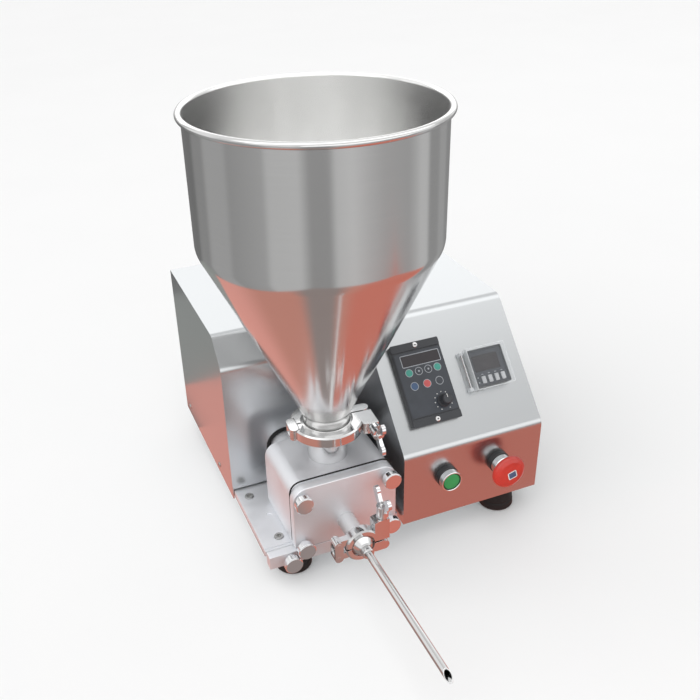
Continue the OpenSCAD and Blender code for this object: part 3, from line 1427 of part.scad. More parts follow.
cabinet_shell();
rear_cover();
casing_screws();
base_tray();
rubber_feet();
chassis_plate();
chassis_screws();
front_bar();
bar_knob();
pump_body();
pump_seals();
pump_cover();
cover_studs();
cover_knob_top_left();
cover_knob_top_right();
cover_knob_bottom_left();
cover_knob_bottom_right();
drive_rotor();
driven_rotor();
drive_shaft();
driven_shaft();
drive_timing_gear();
driven_timing_gear();
gear_housing();
motor_bracket();
shaft_bearings();
gear_head();
motor_body();
housing_trim_ring();
inlet_port();
hopper_gasket();
hopper();
hopper_clamp_front();
hopper_clamp_rear();
hopper_clamp_link();
hopper_clamp_bolt();
hopper_wing_nut();
outlet_tube();
nozzle_gasket();
nozzle_cap();
needle();
nozzle_clamp_upper();
nozzle_clamp_lower();
nozzle_clamp_link();
nozzle_clamp_bolt();
nozzle_wing_nut();
controller_body();
speed_knob();
counter_body();
counter_key_1();
counter_key_2();
counter_key_3();
counter_key_4();
counter_cover();
start_button_bezel();
start_button_cap();
stop_button_collar();
stop_button_stem();
stop_button_head();
power_inlet();
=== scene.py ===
"""Looks of a bench-top cream filling machine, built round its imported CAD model."""
import math

import bmesh
import bpy
from mathutils import Matrix, Vector


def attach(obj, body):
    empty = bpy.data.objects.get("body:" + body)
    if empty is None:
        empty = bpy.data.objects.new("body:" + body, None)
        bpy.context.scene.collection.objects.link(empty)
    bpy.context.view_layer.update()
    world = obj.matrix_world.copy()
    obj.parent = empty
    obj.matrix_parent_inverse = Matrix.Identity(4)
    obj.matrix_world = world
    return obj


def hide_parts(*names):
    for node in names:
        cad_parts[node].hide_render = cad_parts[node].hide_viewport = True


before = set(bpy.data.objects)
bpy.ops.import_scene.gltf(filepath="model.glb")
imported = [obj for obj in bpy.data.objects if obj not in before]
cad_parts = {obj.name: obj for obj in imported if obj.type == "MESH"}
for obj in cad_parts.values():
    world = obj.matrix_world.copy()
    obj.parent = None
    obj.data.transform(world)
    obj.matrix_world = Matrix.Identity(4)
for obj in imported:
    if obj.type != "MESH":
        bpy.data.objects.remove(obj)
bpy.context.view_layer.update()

# Driving places, in the machine's own millimetres: X right, Y back, Z up, from the foot of the
# front panel's left edge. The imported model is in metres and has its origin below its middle.
MM = 0.001
SHIFT = Vector((9.25, -56.2, 35.0))
CABINET_LEFT, CABINET_RIGHT, CABINET_REAR = -164.0, 176.0, 346.5
FRONT_H = 92.0
SLOPE = math.atan2(116.0, 109.0)
PUMP_X = -71.0
HOPPER_Y = 48.0
ROTOR_Z = 54.0
OUTLET_Z = 34.0
COVER_FRONT = -2.0

# An edge that bends more than this is sharp
SHARP = math.radians(32)


# Places


def place(origin, x_axis=(1, 0, 0), y_axis=(0, 1, 0), z_axis=(0, 0, 1)):
    """Matrix from a local frame in millimetres to the model's frame in metres."""
    columns = [Vector(a) * MM for a in (x_axis, y_axis, z_axis)]
    columns.append((Vector(origin) + SHIFT) * MM)
    matrix = Matrix.Identity(4)
    for i, column in enumerate(columns):
        for j in range(3):
            matrix[j][i] = column[j]
    return matrix


def on_slope(x, s):
    """X across the sloped panel, Y up the slope, Z out of it."""
    c, n = math.cos(SLOPE), math.sin(SLOPE)
    return place((x, s * c, FRONT_H + s * n), (1, 0, 0), (0, c, n), (0, -n, c))


def facing_front(x, y, z):
    """X across, Y up, Z towards the front."""
    return place((x, y, z), (1, 0, 0), (0, 0, 1), (0, -1, 0))


def facing_rear(x, y, z):
    """X across, Y up, Z towards the rear."""
    return place((x, y, z), (-1, 0, 0), (0, 0, 1), (0, 1, 0))


def facing_side(x, y, z, side):
    """Y up, Z to the right for side 1 or to the left for side -1."""
    return place((x, y, z), (0, side, 0), (0, 0, 1), (side, 0, 0))


# Outlines


def rounded(points, radii, steps=4, closed=True):
    """Points of a path whose corners are rounded. One radius may stand for all corners."""
    folded, straight, most = math.radians(1), math.radians(89), 0.48
    count = len(points)
    if not hasattr(radii, "__len__"):
        radii = [radii] * count
    path = []
    for i, point in enumerate(points):
        at = Vector(point)
        before = Vector(points[i - 1]) - at
        after = Vector(points[(i + 1) % count]) - at
        is_end = not closed and i in (0, count - 1)
        half = 0 if is_end or radii[i] <= 0 else before.angle(after) / 2
        if not folded <= half <= straight:
            path.append(tuple(at))
            continue
        reach = min(radii[i] / math.tan(half), most * before.length, most * after.length)
        start, end = at + before.normalized() * reach, at + after.normalized() * reach
        for k in range(steps + 1):
            t = k / steps
            path.append(tuple(start.lerp(at, t).lerp(at.lerp(end, t), t)))
    return path


def arc(cx, cy, r, start, end, steps):
    """Points of an arc, with angles in degrees."""
    turns = [math.radians(start + (end - start) * k / steps) for k in range(steps + 1)]
    return [(cx + r * math.cos(a), cy + r * math.sin(a)) for a in turns]


def rectangle(w, h, r, cx=0.0, cy=0.0, steps=4):
    """Rectangle about a middle point, with rounded corners."""
    corners = [(cx - w / 2, cy - h / 2), (cx + w / 2, cy - h / 2),
               (cx + w / 2, cy + h / 2), (cx - w / 2, cy + h / 2)]
    return rounded(corners, r, steps)


# Meshes


def merged(made, bm):
    """Adds one mesh to another, if there is one, and returns the sum."""
    if bm is None:
        return made
    keep = bpy.data.meshes.new("scratch")
    made.to_mesh(keep)
    made.free()
    bm.from_mesh(keep)
    bpy.data.meshes.remove(keep)
    return bm


def moved(bm, matrix):
    bmesh.ops.transform(bm, matrix=matrix, verts=bm.verts)
    return bm


def shift(x, y, z):
    return Matrix.Translation((x, y, z))


def soften(bm, width, segments=2):
    """Rounds every sharp edge."""
    edges = [e for e in bm.edges if len(e.link_faces) == 2 and e.calc_face_angle(0.0) > SHARP]
    if edges:
        bmesh.ops.bevel(bm, geom=edges, offset=width, segments=segments, profile=0.5,
                        affect="EDGES", clamp_overlap=True)
    return bm


def stitched(bm, loops, closed=True):
    """Joins each loop of points to the next by four-sided faces, and the last to the first if closed."""
    for low, high in zip(loops, loops[1:] + loops[:1] if closed else loops[1:]):
        for i in range(len(low)):
            j = (i + 1) % len(low)
            bm.faces.new((low[i], low[j], high[j], high[i]))
    return bm


def lathe(profile, segments=96, closed=False, ripple=None):
    """Turned piece about Z from (radius, height) points. ripple(angle, r, z) may change a radius."""
    on_axis = 1e-6
    bm = bmesh.new()
    rings = []
    for r, z in profile:
        if r < on_axis:
            rings.append([bm.verts.new((0, 0, z))])
            continue
        ring = []
        for i in range(segments):
            a = 2 * math.pi * i / segments
            radius = ripple(a, r, z) if ripple else r
            ring.append(bm.verts.new((radius * math.cos(a), radius * math.sin(a), z)))
        rings.append(ring)
    pairs = list(zip(rings, rings[1:]))
    if closed:
        pairs.append((rings[-1], rings[0]))
    for low, high in pairs:
        for i in range(segments):
            j = (i + 1) % segments
            corners = []
            for v in (low[i % len(low)], low[j % len(low)], high[j % len(high)], high[i % len(high)]):
                if v not in corners:
                    corners.append(v)
            if len(corners) > 2:
                bm.faces.new(corners)
    return bm


def prism(outline, low, high, bevel=0.3, bm=None, segments=2):
    """Flat piece with a rounded rim, from an outline in X and Y."""
    made = bmesh.new()
    face = made.faces.new([made.verts.new((x, y, low)) for x, y in outline])
    grown = bmesh.ops.extrude_face_region(made, geom=[face])["geom"]
    top = [g for g in grown if isinstance(g, bmesh.types.BMVert)]
    bmesh.ops.translate(made, verts=top, vec=(0, 0, high - low))
    bmesh.ops.recalc_face_normals(made, faces=made.faces)
    if bevel > 0:
        soften(made, bevel, segments)
    return merged(made, bm)


def band(outer, inner, low, high):
    """Flat ring between two outlines with as many points each."""
    bm = bmesh.new()
    return stitched(bm, [[bm.verts.new((x, y, z)) for x, y in path] for path, z in (
        (outer, low), (outer, high), (inner, high), (inner, low))])


def border(w, h, r, width, low, high, cx=0.0, cy=0.0):
    """Flat frame: a rounded rectangle with a smaller one taken out."""
    smallest_r, steps = 0.3, 5
    outer = rectangle(w, h, r, cx, cy, steps)
    inner = rectangle(w - 2 * width, h - 2 * width, max(smallest_r, r - width), cx, cy, steps)
    return band(outer, inner, low, high)


def disc(cx, cy, r, low, high, bm, crown=0.25, segments=40):
    """Low domed key or dot."""
    edge_h, edge_w = 0.15, 0.25
    made = lathe([(0, low), (r, low), (r, high - edge_h), (r - edge_w, high), (0, high + crown)], segments)
    return merged(moved(made, shift(cx, cy, 0)), bm)


def ring_mark(cx, cy, r_out, r_in, low, high, bm, segments=40):
    """Printed ring, or a dot if its hole is tiny."""
    made = lathe([(r_in, low), (r_out, low), (r_out, high), (r_in, high)], segments, True)
    return merged(moved(made, shift(cx, cy, 0)), bm)


def screw_head():
    """Pan head with a dished middle, in which the recess lies."""
    profile = rounded([
        (0, 0.75), (0.9, 0.8), (1.8, 1.32), (2.6, 1.12), (3.3, 0.68), (3.6, 0.35), (3.6, 0.02), (0, 0.0)],
        0.12, 2, False)
    return lathe(profile, 40)


def cross_recess(low, high):
    """Two dark bars in a screw's head: painted shade of its cross recess."""
    length, width = 3.4, 0.75
    bm = bmesh.new()
    for w, h in ((length, width), (width, length)):
        prism(rectangle(w, h, 0.15, steps=1), low, high, 0.0, bm)
    return bm


def from_cad(node, width, segments=2):
    """The CAD node's own shape, in metres, with its sharp edges rounded."""
    weld, flat = 2e-6, math.radians(0.4)
    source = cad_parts[node].data
    bm = bmesh.new()
    points = [bm.verts.new(v.co) for v in source.vertices]
    for polygon in source.polygons:
        try:
            bm.faces.new([points[i] for i in polygon.vertices])
        except ValueError:
            continue
    bmesh.ops.remove_doubles(bm, verts=bm.verts, dist=weld)
    bmesh.ops.recalc_face_normals(bm, faces=bm.faces)
    bmesh.ops.dissolve_limit(bm, angle_limit=flat, verts=bm.verts, edges=bm.edges)
    return soften(bm, width * MM, segments)


def linked(name, bm, look):
    """Makes a mesh into an object of the scene."""
    mesh = bpy.data.meshes.new(name)
    bm.to_mesh(mesh)
    bm.free()
    obj = bpy.data.objects.new(name, mesh)
    bpy.context.scene.collection.objects.link(obj)
    mesh.materials.append(look)
    return obj


def piece(name, bm, look, body="machine", where=None, replaces=()):
    """Makes a mesh into a piece of the object that rides on a body."""
    if where is not None:
        moved(bm, where)
    bmesh.ops.recalc_face_normals(bm, faces=bm.faces)
    for face in bm.faces:
        face.smooth = True
    for edge in bm.edges:
        edge.smooth = len(edge.link_faces) == 2 and edge.calc_face_angle(0.0) <= SHARP
    obj = linked(name, bm, look)
    even = obj.modifiers.new("even_normals", "WEIGHTED_NORMAL")
    even.keep_sharp = True
    even.weight = 80
    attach(obj, body)
    if replaces:
        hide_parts(*replaces)
    return obj


# Material nodes

HOPPER_AXIS = tuple((Vector((PUMP_X, HOPPER_Y, 0)) + SHIFT) * MM)


class Tree:
    """A new material, with short ways to add nodes to it."""

    def __init__(self, name, slot=None):
        self.material = bpy.data.materials.new(name)
        self.material.use_nodes = True
        self.nodes = self.material.node_tree.nodes
        self.links = self.material.node_tree.links
        self.shader = self.nodes["Principled BSDF"]

    def add(self, kind, settings=None, **inputs):
        made = self.nodes.new(kind)
        for key, value in (settings or {}).items():
            setattr(made, key, value)
        for key, value in inputs.items():
            self.put(made.inputs[key.replace("_", " ")], value)
        return made

    def put(self, socket, value):
        if isinstance(value, bpy.types.NodeSocket):
            self.links.new(value, socket)
        else:
            socket.default_value = value

    def set(self, **inputs):
        for key, value in inputs.items():
            self.put(self.shader.inputs[key.replace("_", " ")], value)

    def coordinates(self):
        return self.add("ShaderNodeTexCoord").outputs["Object"]

    def geometry(self, key):
        return self.add("ShaderNodeNewGeometry").outputs[key]

    def split(self, vector):
        return self.add("ShaderNodeSeparateXYZ", Vector=vector).outputs

    def joined(self, x, y, z=0.0):
        return self.add("ShaderNodeCombineXYZ", X=x, Y=y, Z=z).outputs["Vector"]

    def stretched(self, scale):
        return self.add("ShaderNodeMapping", Vector=self.coordinates(), Scale=scale).outputs["Vector"]

    def noise(self, vector, scale, detail=4.0, rough=0.55):
        made = self.add("ShaderNodeTexNoise", Vector=vector, Scale=scale, Detail=detail, Roughness=rough)
        return made.outputs["Fac"]

    def math(self, operation, a, b=0.0):
        made = self.add("ShaderNodeMath", {"operation": operation})
        self.put(made.inputs[0], a)
        self.put(made.inputs[1], b)
        return made.outputs[0]

    def vector(self, operation, a, b=(0, 0, 0)):
        made = self.add("ShaderNodeVectorMath", {"operation": operation})
        self.put(made.inputs[0], a)
        self.put(made.inputs[1], b)
        return made.outputs["Value" if operation in ("LENGTH", "DOT_PRODUCT") else "Vector"]

    def mix(self, kind, share, a, b):
        """Mix of two vectors or two colours. The node has its own sockets for each kind."""
        first, second, result = {"VECTOR": (4, 5, 1), "RGBA": (6, 7, 2)}[kind]
        made = self.add("ShaderNodeMix", {"data_type": kind}, Factor=share)
        self.put(made.inputs[first], a)
        self.put(made.inputs[second], b)
        return made.outputs[result]

    def blend(self, a, b, share):
        """Weighted sum of two values, with the first one's share."""
        return self.math("ADD", self.math("MULTIPLY", a, share), self.math("MULTIPLY", b, 1.0 - share))

    def ranged(self, value, low, high, start=0.3, end=0.7):
        made = self.add("ShaderNodeMapRange", Value=value)
        for key, number in (("From Min", start), ("From Max", end), ("To Min", low), ("To Max", high)):
            made.inputs[key].default_value = number
        return made.outputs["Result"]

    def ramp(self, value, stops):
        """Colours along a value from 0 to 1. The first two stops are the ends."""
        made = self.add("ShaderNodeValToRGB", Fac=value)
        elements = made.color_ramp.elements
        for i, (at, color) in enumerate(stops):
            stop = elements[i] if i < 2 else elements.new(at)
            stop.position = at
            stop.color = (*color, 1.0)
        return made.outputs["Color"]

    def tinted(self, value, dark, light):
        return self.ramp(value, ((0.3, dark), (0.7, light)))

    def toned(self, value, tones):
        """Colours, or greys given by one number, at stated values in rising order."""
        low, high = tones[0][0], tones[-1][0]
        stops = [((at - low) / (high - low), tone if isinstance(tone, tuple) else (tone, tone, tone))
                 for at, tone in tones]
        return self.ramp(self.ranged(value, 0.0, 1.0, low, high), [stops[0], stops[-1], *stops[1:-1]])

    def bump(self, height, strength):
        deepest = 0.1 * MM
        made = self.add("ShaderNodeBump", Height=height, Strength=strength, Distance=deepest)
        self.set(Normal=made.outputs["Normal"])


def shade(color, amount):
    return tuple(min(1.0, c * amount) for c in color)


# Kinds of material


def brushed_sheet(name, slot, color, rough):
    """Sheet with a fine grain along X on faces that look forward or up, and along Y on the sides."""
    along, across, steep = 10.0, 3200.0, 0.7
    tree = Tree(name, slot)
    sideways = tree.math("ABSOLUTE", tree.split(tree.geometry("Normal"))["X"])
    grid = tree.mix("VECTOR", tree.math("GREATER_THAN", sideways, steep),
                    tree.stretched((along, across, across)), tree.stretched((across, along, across)))
    grain = tree.noise(grid, 1.0, 5.0, 0.6)
    cloud = tree.noise(tree.coordinates(), 9.0, 3.0)
    mixed = tree.blend(grain, cloud, 0.7)
    tree.set(Base_Color=tree.tinted(mixed, shade(color, 0.985), shade(color, 1.01)), Metallic=1.0,
             Roughness=tree.ranged(mixed, rough - 0.012, rough + 0.018), Anisotropic=0.25)
    tree.bump(grain, 0.002)
    return tree.material


def spun_metal(name, slot, color, rough, lines=900.0, depth=0.05, inside_rough=None, painted_inside_light=1.0):
    """Metal with a fine grain round the hopper's axis.

    The side that faces the axis may be duller, may have its colour raised as painted light standing in for
    the brighter light inside the vessel, and has no relief.
    """
    tree = Tree(name, slot)
    local = tree.split(tree.vector("SUBTRACT", tree.coordinates(), HOPPER_AXIS))
    outwards = tree.joined(local["X"], local["Y"])
    turn = tree.math("ARCTAN2", local["Y"], local["X"])
    grid = tree.joined(tree.math("MULTIPLY", turn, 1.6), tree.math("MULTIPLY", local["Z"], lines),
                       tree.math("MULTIPLY", tree.vector("LENGTH", outwards), lines))
    grain = tree.noise(grid, 1.0, 5.0, 0.6)
    cloud = tree.noise(tree.coordinates(), 14.0, 3.0)
    mixed = tree.blend(grain, cloud, 0.75)
    facing = tree.vector("DOT_PRODUCT", outwards, tree.geometry("Normal"))
    inside = tree.math("LESS_THAN", facing, 0.0)
    duller = tree.math("MULTIPLY", inside, (inside_rough or rough) - rough)
    # Painted light: the side facing the axis gets a raised colour, standing in for the light inside the
    # vessel.
    painted_inside_tones = shade(color, 0.985 * painted_inside_light), shade(color, 1.01 * painted_inside_light)
    tint = tree.mix("RGBA", inside, tree.tinted(mixed, shade(color, 0.98), shade(color, 1.02)),
                    tree.tinted(mixed, *painted_inside_tones))
    tangent = tree.add("ShaderNodeTangent", {"direction_type": "RADIAL", "axis": "Z"})
    tree.set(Base_Color=tint, Metallic=1.0,
             Roughness=tree.math("ADD", tree.ranged(mixed, rough - 0.01, rough + 0.015), duller),
             Anisotropic=0.7, Anisotropic_Rotation=0.25, Tangent=tangent.outputs["Tangent"])
    tree.bump(grain, tree.math("MULTIPLY", tree.math("SUBTRACT", 1.0, inside), depth))
    return tree.material


def grained_metal(name, slot, color, rough, grain_size, depth, swirl=0.02):
    """Metal with an even grain: blasted with a coarse one, polished with a faint one."""
    tree = Tree(name, slot)
    grain = tree.noise(tree.coordinates(), 1.0 / (grain_size * MM), 3.0)
    cloud = tree.noise(tree.coordinates(), 30.0, 3.0)
    mixed = tree.blend(grain, cloud, 0.45)
    tree.set(Base_Color=tree.tinted(mixed, shade(color, 1 - 2 * swirl), shade(color, 1 + swirl)),
             Metallic=1.0, Roughness=tree.ranged(mixed, rough * 0.85, rough * 1.2))
    tree.bump(grain, depth)
    return tree.material


def moulded(name, slot, color, rough, grain_size=0.25, depth=0.12, coat=0.0, level=0.5):
    """Plastic or rubber with a fine moulded skin and a slightly uneven gloss."""
    tree = Tree(name, slot)
    grain = tree.noise(tree.coordinates(), 1.0 / (grain_size * MM), 3.0)
    cloud = tree.noise(tree.coordinates(), 60.0, 3.0)
    tree.set(Base_Color=tree.tinted(cloud, shade(color, 0.88), shade(color, 1.1)),
             Roughness=tree.ranged(cloud, rough * 0.88, rough * 1.14), Coat_Weight=coat,
             Specular_IOR_Level=level)
    tree.bump(grain, depth)
    return tree.material


def clear_plastic(name, slot, color, alpha):
    """Clear sheet: the lower alpha is, the less of it shows apart from its gloss."""
    tree = Tree(name, slot)
    cloud = tree.noise(tree.coordinates(), 40.0, 2.0)
    tree.set(Base_Color=tree.tinted(cloud, shade(color, 0.98), shade(color, 1.02)),
             Roughness=tree.ranged(cloud, 0.03, 0.08), IOR=1.49, Alpha=alpha)
    return tree.material


# Materials

STEEL = brushed_sheet("brushed_cabinet_steel", "stainless_sheet", (0.575, 0.59, 0.60), 0.25)
# The hopper's inner wall has painted light: its colour is raised 1.28 times to stand in for the light inside.
HOPPER_STEEL = spun_metal("spun_hopper_steel", "polished_stainless", (0.70, 0.70, 0.695), 0.15,
                          depth=0.02, inside_rough=0.23, painted_inside_light=1.28)
TURNED_STEEL = spun_metal("turned_tube_steel", "polished_stainless", (0.62, 0.62, 0.62), 0.15, 1500.0)
CAST_STEEL = grained_metal("polished_cast_steel", "polished_stainless", (0.72, 0.72, 0.72), 0.10, 1.6, 0.10)
SATIN_STEEL = grained_metal("satin_tube_steel", "polished_stainless", (0.74, 0.74, 0.74), 0.40, 0.5, 0.12)
MIRROR_STEEL = grained_metal("mirror_steel", "polished_nut", (0.80, 0.80, 0.81), 0.09, 1.2, 0.03)
ALUMINIUM = grained_metal("blasted_aluminium", "blasted_aluminium", (0.79, 0.80, 0.825), 0.58, 0.35, 0.22)
GEAR_STEEL = grained_metal("ground_steel", "gear_steel", (0.50, 0.50, 0.49), 0.28, 0.6, 0.10)
RUBBER = moulded("black_rubber", "black_rubber", (0.014, 0.0135, 0.0135), 0.62, 0.5, 0.2, level=0.25)
SILICONE = moulded("white_silicone", "white_silicone", (0.80, 0.80, 0.77), 0.5)
PAINT = moulded("motor_paint", "motor_paint", (0.20, 0.21, 0.23), 0.42, 0.7, 0.1)
BLACK = moulded("black_plastic", "black_plastic", (0.036, 0.039, 0.045), 0.46, 0.3, 0.16)
MEMBRANE = moulded("membrane_plastic", "black_plastic", (0.044, 0.050, 0.062), 0.34, 0.18, 0.08)
WINDOW = moulded("display_window", "black_plastic", (0.024, 0.018, 0.022), 0.10, 2.0, 0.01, coat=0.3)
WHITE = moulded("white_plastic", "white_plastic", (0.74, 0.74, 0.72), 0.36, 0.3, 0.05)
KEY_GREY = moulded("grey_key", "white_plastic", (0.50, 0.51, 0.53), 0.36, 0.3, 0.05)
PRINT_GREY = moulded("grey_print", "white_plastic", (0.42, 0.44, 0.47), 0.45, 0.3, 0.05)
TEAL = moulded("teal_key", "green_plastic", (0.05, 0.33, 0.26), 0.38, 0.3, 0.05)
BLUE = moulded("blue_key", "black_plastic", (0.05, 0.10, 0.20), 0.38, 0.3, 0.05)
PINK = moulded("red_key", "red_plastic", (0.62, 0.10, 0.10), 0.38, 0.3, 0.05)
GREEN = moulded("green_button", "green_plastic", (0.012, 0.30, 0.085), 0.30, 0.4, 0.05, coat=0.2)
RED = moulded("red_button", "red_plastic", (0.56, 0.028, 0.016), 0.30, 0.4, 0.05, coat=0.25)
CHROME = grained_metal("button_chrome", "button_chrome", (0.76, 0.77, 0.78), 0.12, 0.9, 0.03)
COLLAR = moulded("dark_collar", "dark_collar", (0.018, 0.018, 0.020), 0.32, 0.4, 0.1)
CLEAR = clear_plastic("clear_plastic", "clear_plastic", (0.90, 0.94, 0.96), 0.035)
# Denser clear plastic, which paints a glint on the edges of clear parts.
CLEAR_GLINT = clear_plastic("clear_plastic_painted_glint", "clear_plastic", (0.92, 0.95, 0.97), 0.45)


# Camera


def add_camera():
    """Camera at the photograph's place, fitted to the machine's straight edges and rims in it."""
    photo_px, focal_px, centre_x_px, centre_y_px = 700.0, 871.825, 333.207, 356.633
    data = bpy.data.cameras.new("camera")
    data.sensor_fit = "HORIZONTAL"
    data.sensor_width = 36.0
    data.lens = data.sensor_width * focal_px / photo_px
    data.shift_x = (photo_px / 2 - centre_x_px) / photo_px
    data.shift_y = (centre_y_px - photo_px / 2) / photo_px
    data.clip_start, data.clip_end = 0.05, 60.0
    camera = bpy.data.objects.new("camera", data)
    right = (0.92372657, -0.38226027, -0.02462318)
    up = (0.21166954, 0.45580714, 0.86454373)
    back = (-0.3192573, -0.80381399, 0.50195403)
    spot = (-0.34152538, -0.73760624, 0.70154629)
    camera.matrix_world = Matrix((*zip(right, up, back, spot), (0, 0, 0, 1)))
    bpy.context.scene.collection.objects.link(camera)
    bpy.context.scene.camera = camera


add_camera()


# Cabinet, tray and feet

piece("cabinet", from_cad("cabinet_shell", 0.5), STEEL, replaces=["cabinet_shell"])
piece("rear_panel", from_cad("rear_cover", 0.25), STEEL, replaces=["rear_cover"])
piece("tray", from_cad("base_tray", 0.2), STEEL, replaces=["base_tray"])


def casing_screws():
    """Screws of the rear cover's corners and top edge, and of the cabinet's sides."""
    inset, rear_low, rear_high = 7.0, 26.0, 201.0
    side_z, side_y = 11.2, (181.0, 325.0)
    middle = (CABINET_LEFT + CABINET_RIGHT) / 2
    spots = [facing_rear(x, CABINET_REAR, z) for x in (CABINET_LEFT + inset, CABINET_RIGHT - inset)
             for z in (rear_low, rear_high)]
    spots.append(facing_rear(middle, CABINET_REAR, rear_high))
    for y in side_y:
        spots.append(facing_side(CABINET_RIGHT, y, side_z, 1))
        spots.append(facing_side(CABINET_LEFT, y, side_z, -1))
    heads, recess_shades = bmesh.new(), bmesh.new()
    for spot in spots:
        merged(moved(screw_head(), spot), heads)
        # Painted shade: dark bars stand for the shade in each head's cross recess.
        merged(moved(cross_recess(0.8, 1.22), spot), recess_shades)
    piece("casing_screw_heads", heads, GEAR_STEEL, replaces=["casing_screws"])
    piece("casing_screw_recess_shade", recess_shades, COLLAR)


def rubber_feet():
    """Tapered feet with a groove above the sole and a bore for the screw."""
    profile = rounded([
        (6.5, -35), (19.5, -35), (21, -33), (20.6, -27), (20.2, -25.8), (19.6, -25.2), (19.6, -23.8),
        (19.9, -23.0), (16.6, -2.5), (16, 3.4), (3.2, 3.4), (3.2, -21), (6.5, -21)], 0.7, 3)
    bm = bmesh.new()
    for x in (-124.0, 142.0):
        for y in (30.0, 304.0):
            merged(moved(lathe(profile, 72, True), place((x, y, 0))), bm)
    piece("feet", bm, RUBBER, replaces=["rubber_feet"])


casing_screws()
rubber_feet()


# Chassis plate and pump

piece("plate", from_cad("chassis_plate", 0.5), ALUMINIUM, replaces=["chassis_plate"])
piece("plate_screws", from_cad("chassis_screws", 0.3), GEAR_STEEL, replaces=["chassis_screws"])
piece("bar", from_cad("front_bar", 0.6, 3), ALUMINIUM, replaces=["front_bar"])
piece("pump_block", from_cad("pump_body", 0.2, 2), ALUMINIUM, replaces=["pump_body"])
piece("pump_front", from_cad("pump_cover", 1.2, 3), ALUMINIUM, replaces=["pump_cover"])


def pump_seam():
    """Dark rubber band flush in the groove between the pump's block and its cover: painted shade of the seam.
    """
    half_w, half_h, back, front = 60.04, 40.04, -9.8, -9.0
    corners = [(-half_w, -half_h), (half_w, -half_h), (half_w, half_h), (-half_w, half_h)]
    outer = rounded(corners, [5, 5, 16, 16], 10)
    inner = rounded([(x * 0.97, z * 0.96) for x, z in corners], [4, 4, 14, 14], 10)
    piece("pump_seam_painted_shade", band(outer, inner, back, front), RUBBER, where=facing_front(PUMP_X, 0, ROTOR_Z))


pump_seam()
piece("gear_case", from_cad("gear_housing", 0.5), ALUMINIUM, replaces=["gear_housing"])
piece("edge_ring", from_cad("housing_trim_ring", 0.6, 3), RUBBER, replaces=["housing_trim_ring"])

KNOB = rounded([
    (0, 0.3), (6.94, 0.3), (6.94, 4.9), (9.1, 4.9), (10.2, 5.9), (10.2, 12.2), (9.1, 13.4), (0, 13.5)],
    0.7, 4, False)
KNOB_SCREW = [(0, -8), (3, -8), (3, 0.3)]

for row, z in (("top", 78.6), ("bottom", 16.2)):
    for side, x in (("left", -121.5), ("right", -20.5)):
        piece(f"knob_nut_{row}_{side}", lathe(KNOB, 80), MIRROR_STEEL, f"knob_{row}_{side}",
              facing_front(x, COVER_FRONT, z), [f"cover_knob_{row}_{side}"])
piece("bar_knob_screw", lathe(KNOB_SCREW + KNOB[1:], 80), MIRROR_STEEL, "bar_screw",
      facing_front(-137.5, COVER_FRONT, 2.3), ["bar_knob"])

# Pieces inside keep their CAD shape

for node, look in (
        ("pump_seals", RUBBER), ("cover_studs", CAST_STEEL), ("drive_rotor", CAST_STEEL),
        ("driven_rotor", CAST_STEEL), ("drive_shaft", GEAR_STEEL), ("driven_shaft", GEAR_STEEL),
        ("drive_timing_gear", GEAR_STEEL), ("driven_timing_gear", GEAR_STEEL),
        ("shaft_bearings", GEAR_STEEL), ("motor_bracket", ALUMINIUM), ("gear_head", ALUMINIUM),
        ("motor_body", PAINT), ("hopper_gasket", SILICONE), ("nozzle_gasket", SILICONE)):
    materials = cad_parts[node].data.materials
    materials.clear()
    materials.append(look)


# Hopper, tubes and needle

ON_HOPPER_AXIS = place((PUMP_X, HOPPER_Y, 0))
ON_OUTLET_AXIS = facing_front(PUMP_X, 0, OUTLET_Z)


def flange(flange_r, tube_r):
    """Clamp flange from its sealing face upwards."""
    edge, height, wedge = 2.3, 4.7, math.radians(20)
    inner = max(tube_r + 0.6, flange_r - 5.6)
    return [(flange_r, 0), (flange_r, edge), (inner, edge + (flange_r - inner) * math.tan(wedge)),
            (tube_r, height)]


def flange_below(flange_r, tube_r, face):
    """Clamp flange whose sealing face looks up, from the tube to that face."""
    return [(r, face - z) for r, z in reversed(flange(flange_r, tube_r))]


def hopper():
    """Vessel with a flanged neck, a cone, a cylinder and a rolled rim."""
    neck, wall, rim = 25.4, 1.5, 120.0
    foot, cone, cylinder, top = 131.3, 146.0, 345.0, 471.0
    bead, bead_drop, bead_start, bead_end = 3.2, 2.71, 238, 539
    outside = rounded(
        [(neck - wall, foot)] + [(r, foot + z) for r, z in flange(32.0, neck)]
        + [(neck, cone), (rim, cylinder), (rim, top - bead_drop)],
        [0, 0.4, 0.4, 1.0, 1.0, 14, 26, 0], 8, False)
    roll = arc(rim - wall + bead, top, bead, bead_start, bead_end, 28)
    inside = rounded(
        [(rim - wall, top - 0.6), (rim - wall, cylinder), (neck - wall, cone), (neck - wall, foot)],
        [0, 24.5, 15.5, 0], 8, False)
    return lathe(outside + roll + inside[:-1], 192, True)


def needle():
    """Thin tube whose tip is cut on a slant that opens upwards."""
    outer, bore, root, tip = 4.0, 3.2, 52.2, 236.1
    slant, edge, steps = 1.5, 0.15, 64
    bm = bmesh.new()

    def ring(r, inset=None):
        """Ring at the root, or along the slant at an inset from it."""
        points = arc(0, 0, r, 0, 360, steps)[:-1]
        return [bm.verts.new((x, up, root if inset is None else tip - inset - slant * (outer + up)))
                for x, up in points]

    return stitched(bm, [ring(bore), ring(outer), ring(outer, edge), ring(outer - edge, 0.0),
                         ring(bore + edge, 0.0), ring(bore, edge)])


piece("hopper_vessel", hopper(), HOPPER_STEEL, where=ON_HOPPER_AXIS, replaces=["hopper"])

INLET = [(19, 91), (22, 91)] + flange_below(32.0, 22.0, 130.1) + [(19, 130.1)]
piece("inlet_tube", lathe(rounded(INLET, 0.4, 3), 128, True), TURNED_STEEL,
      where=ON_HOPPER_AXIS, replaces=["inlet_port"])

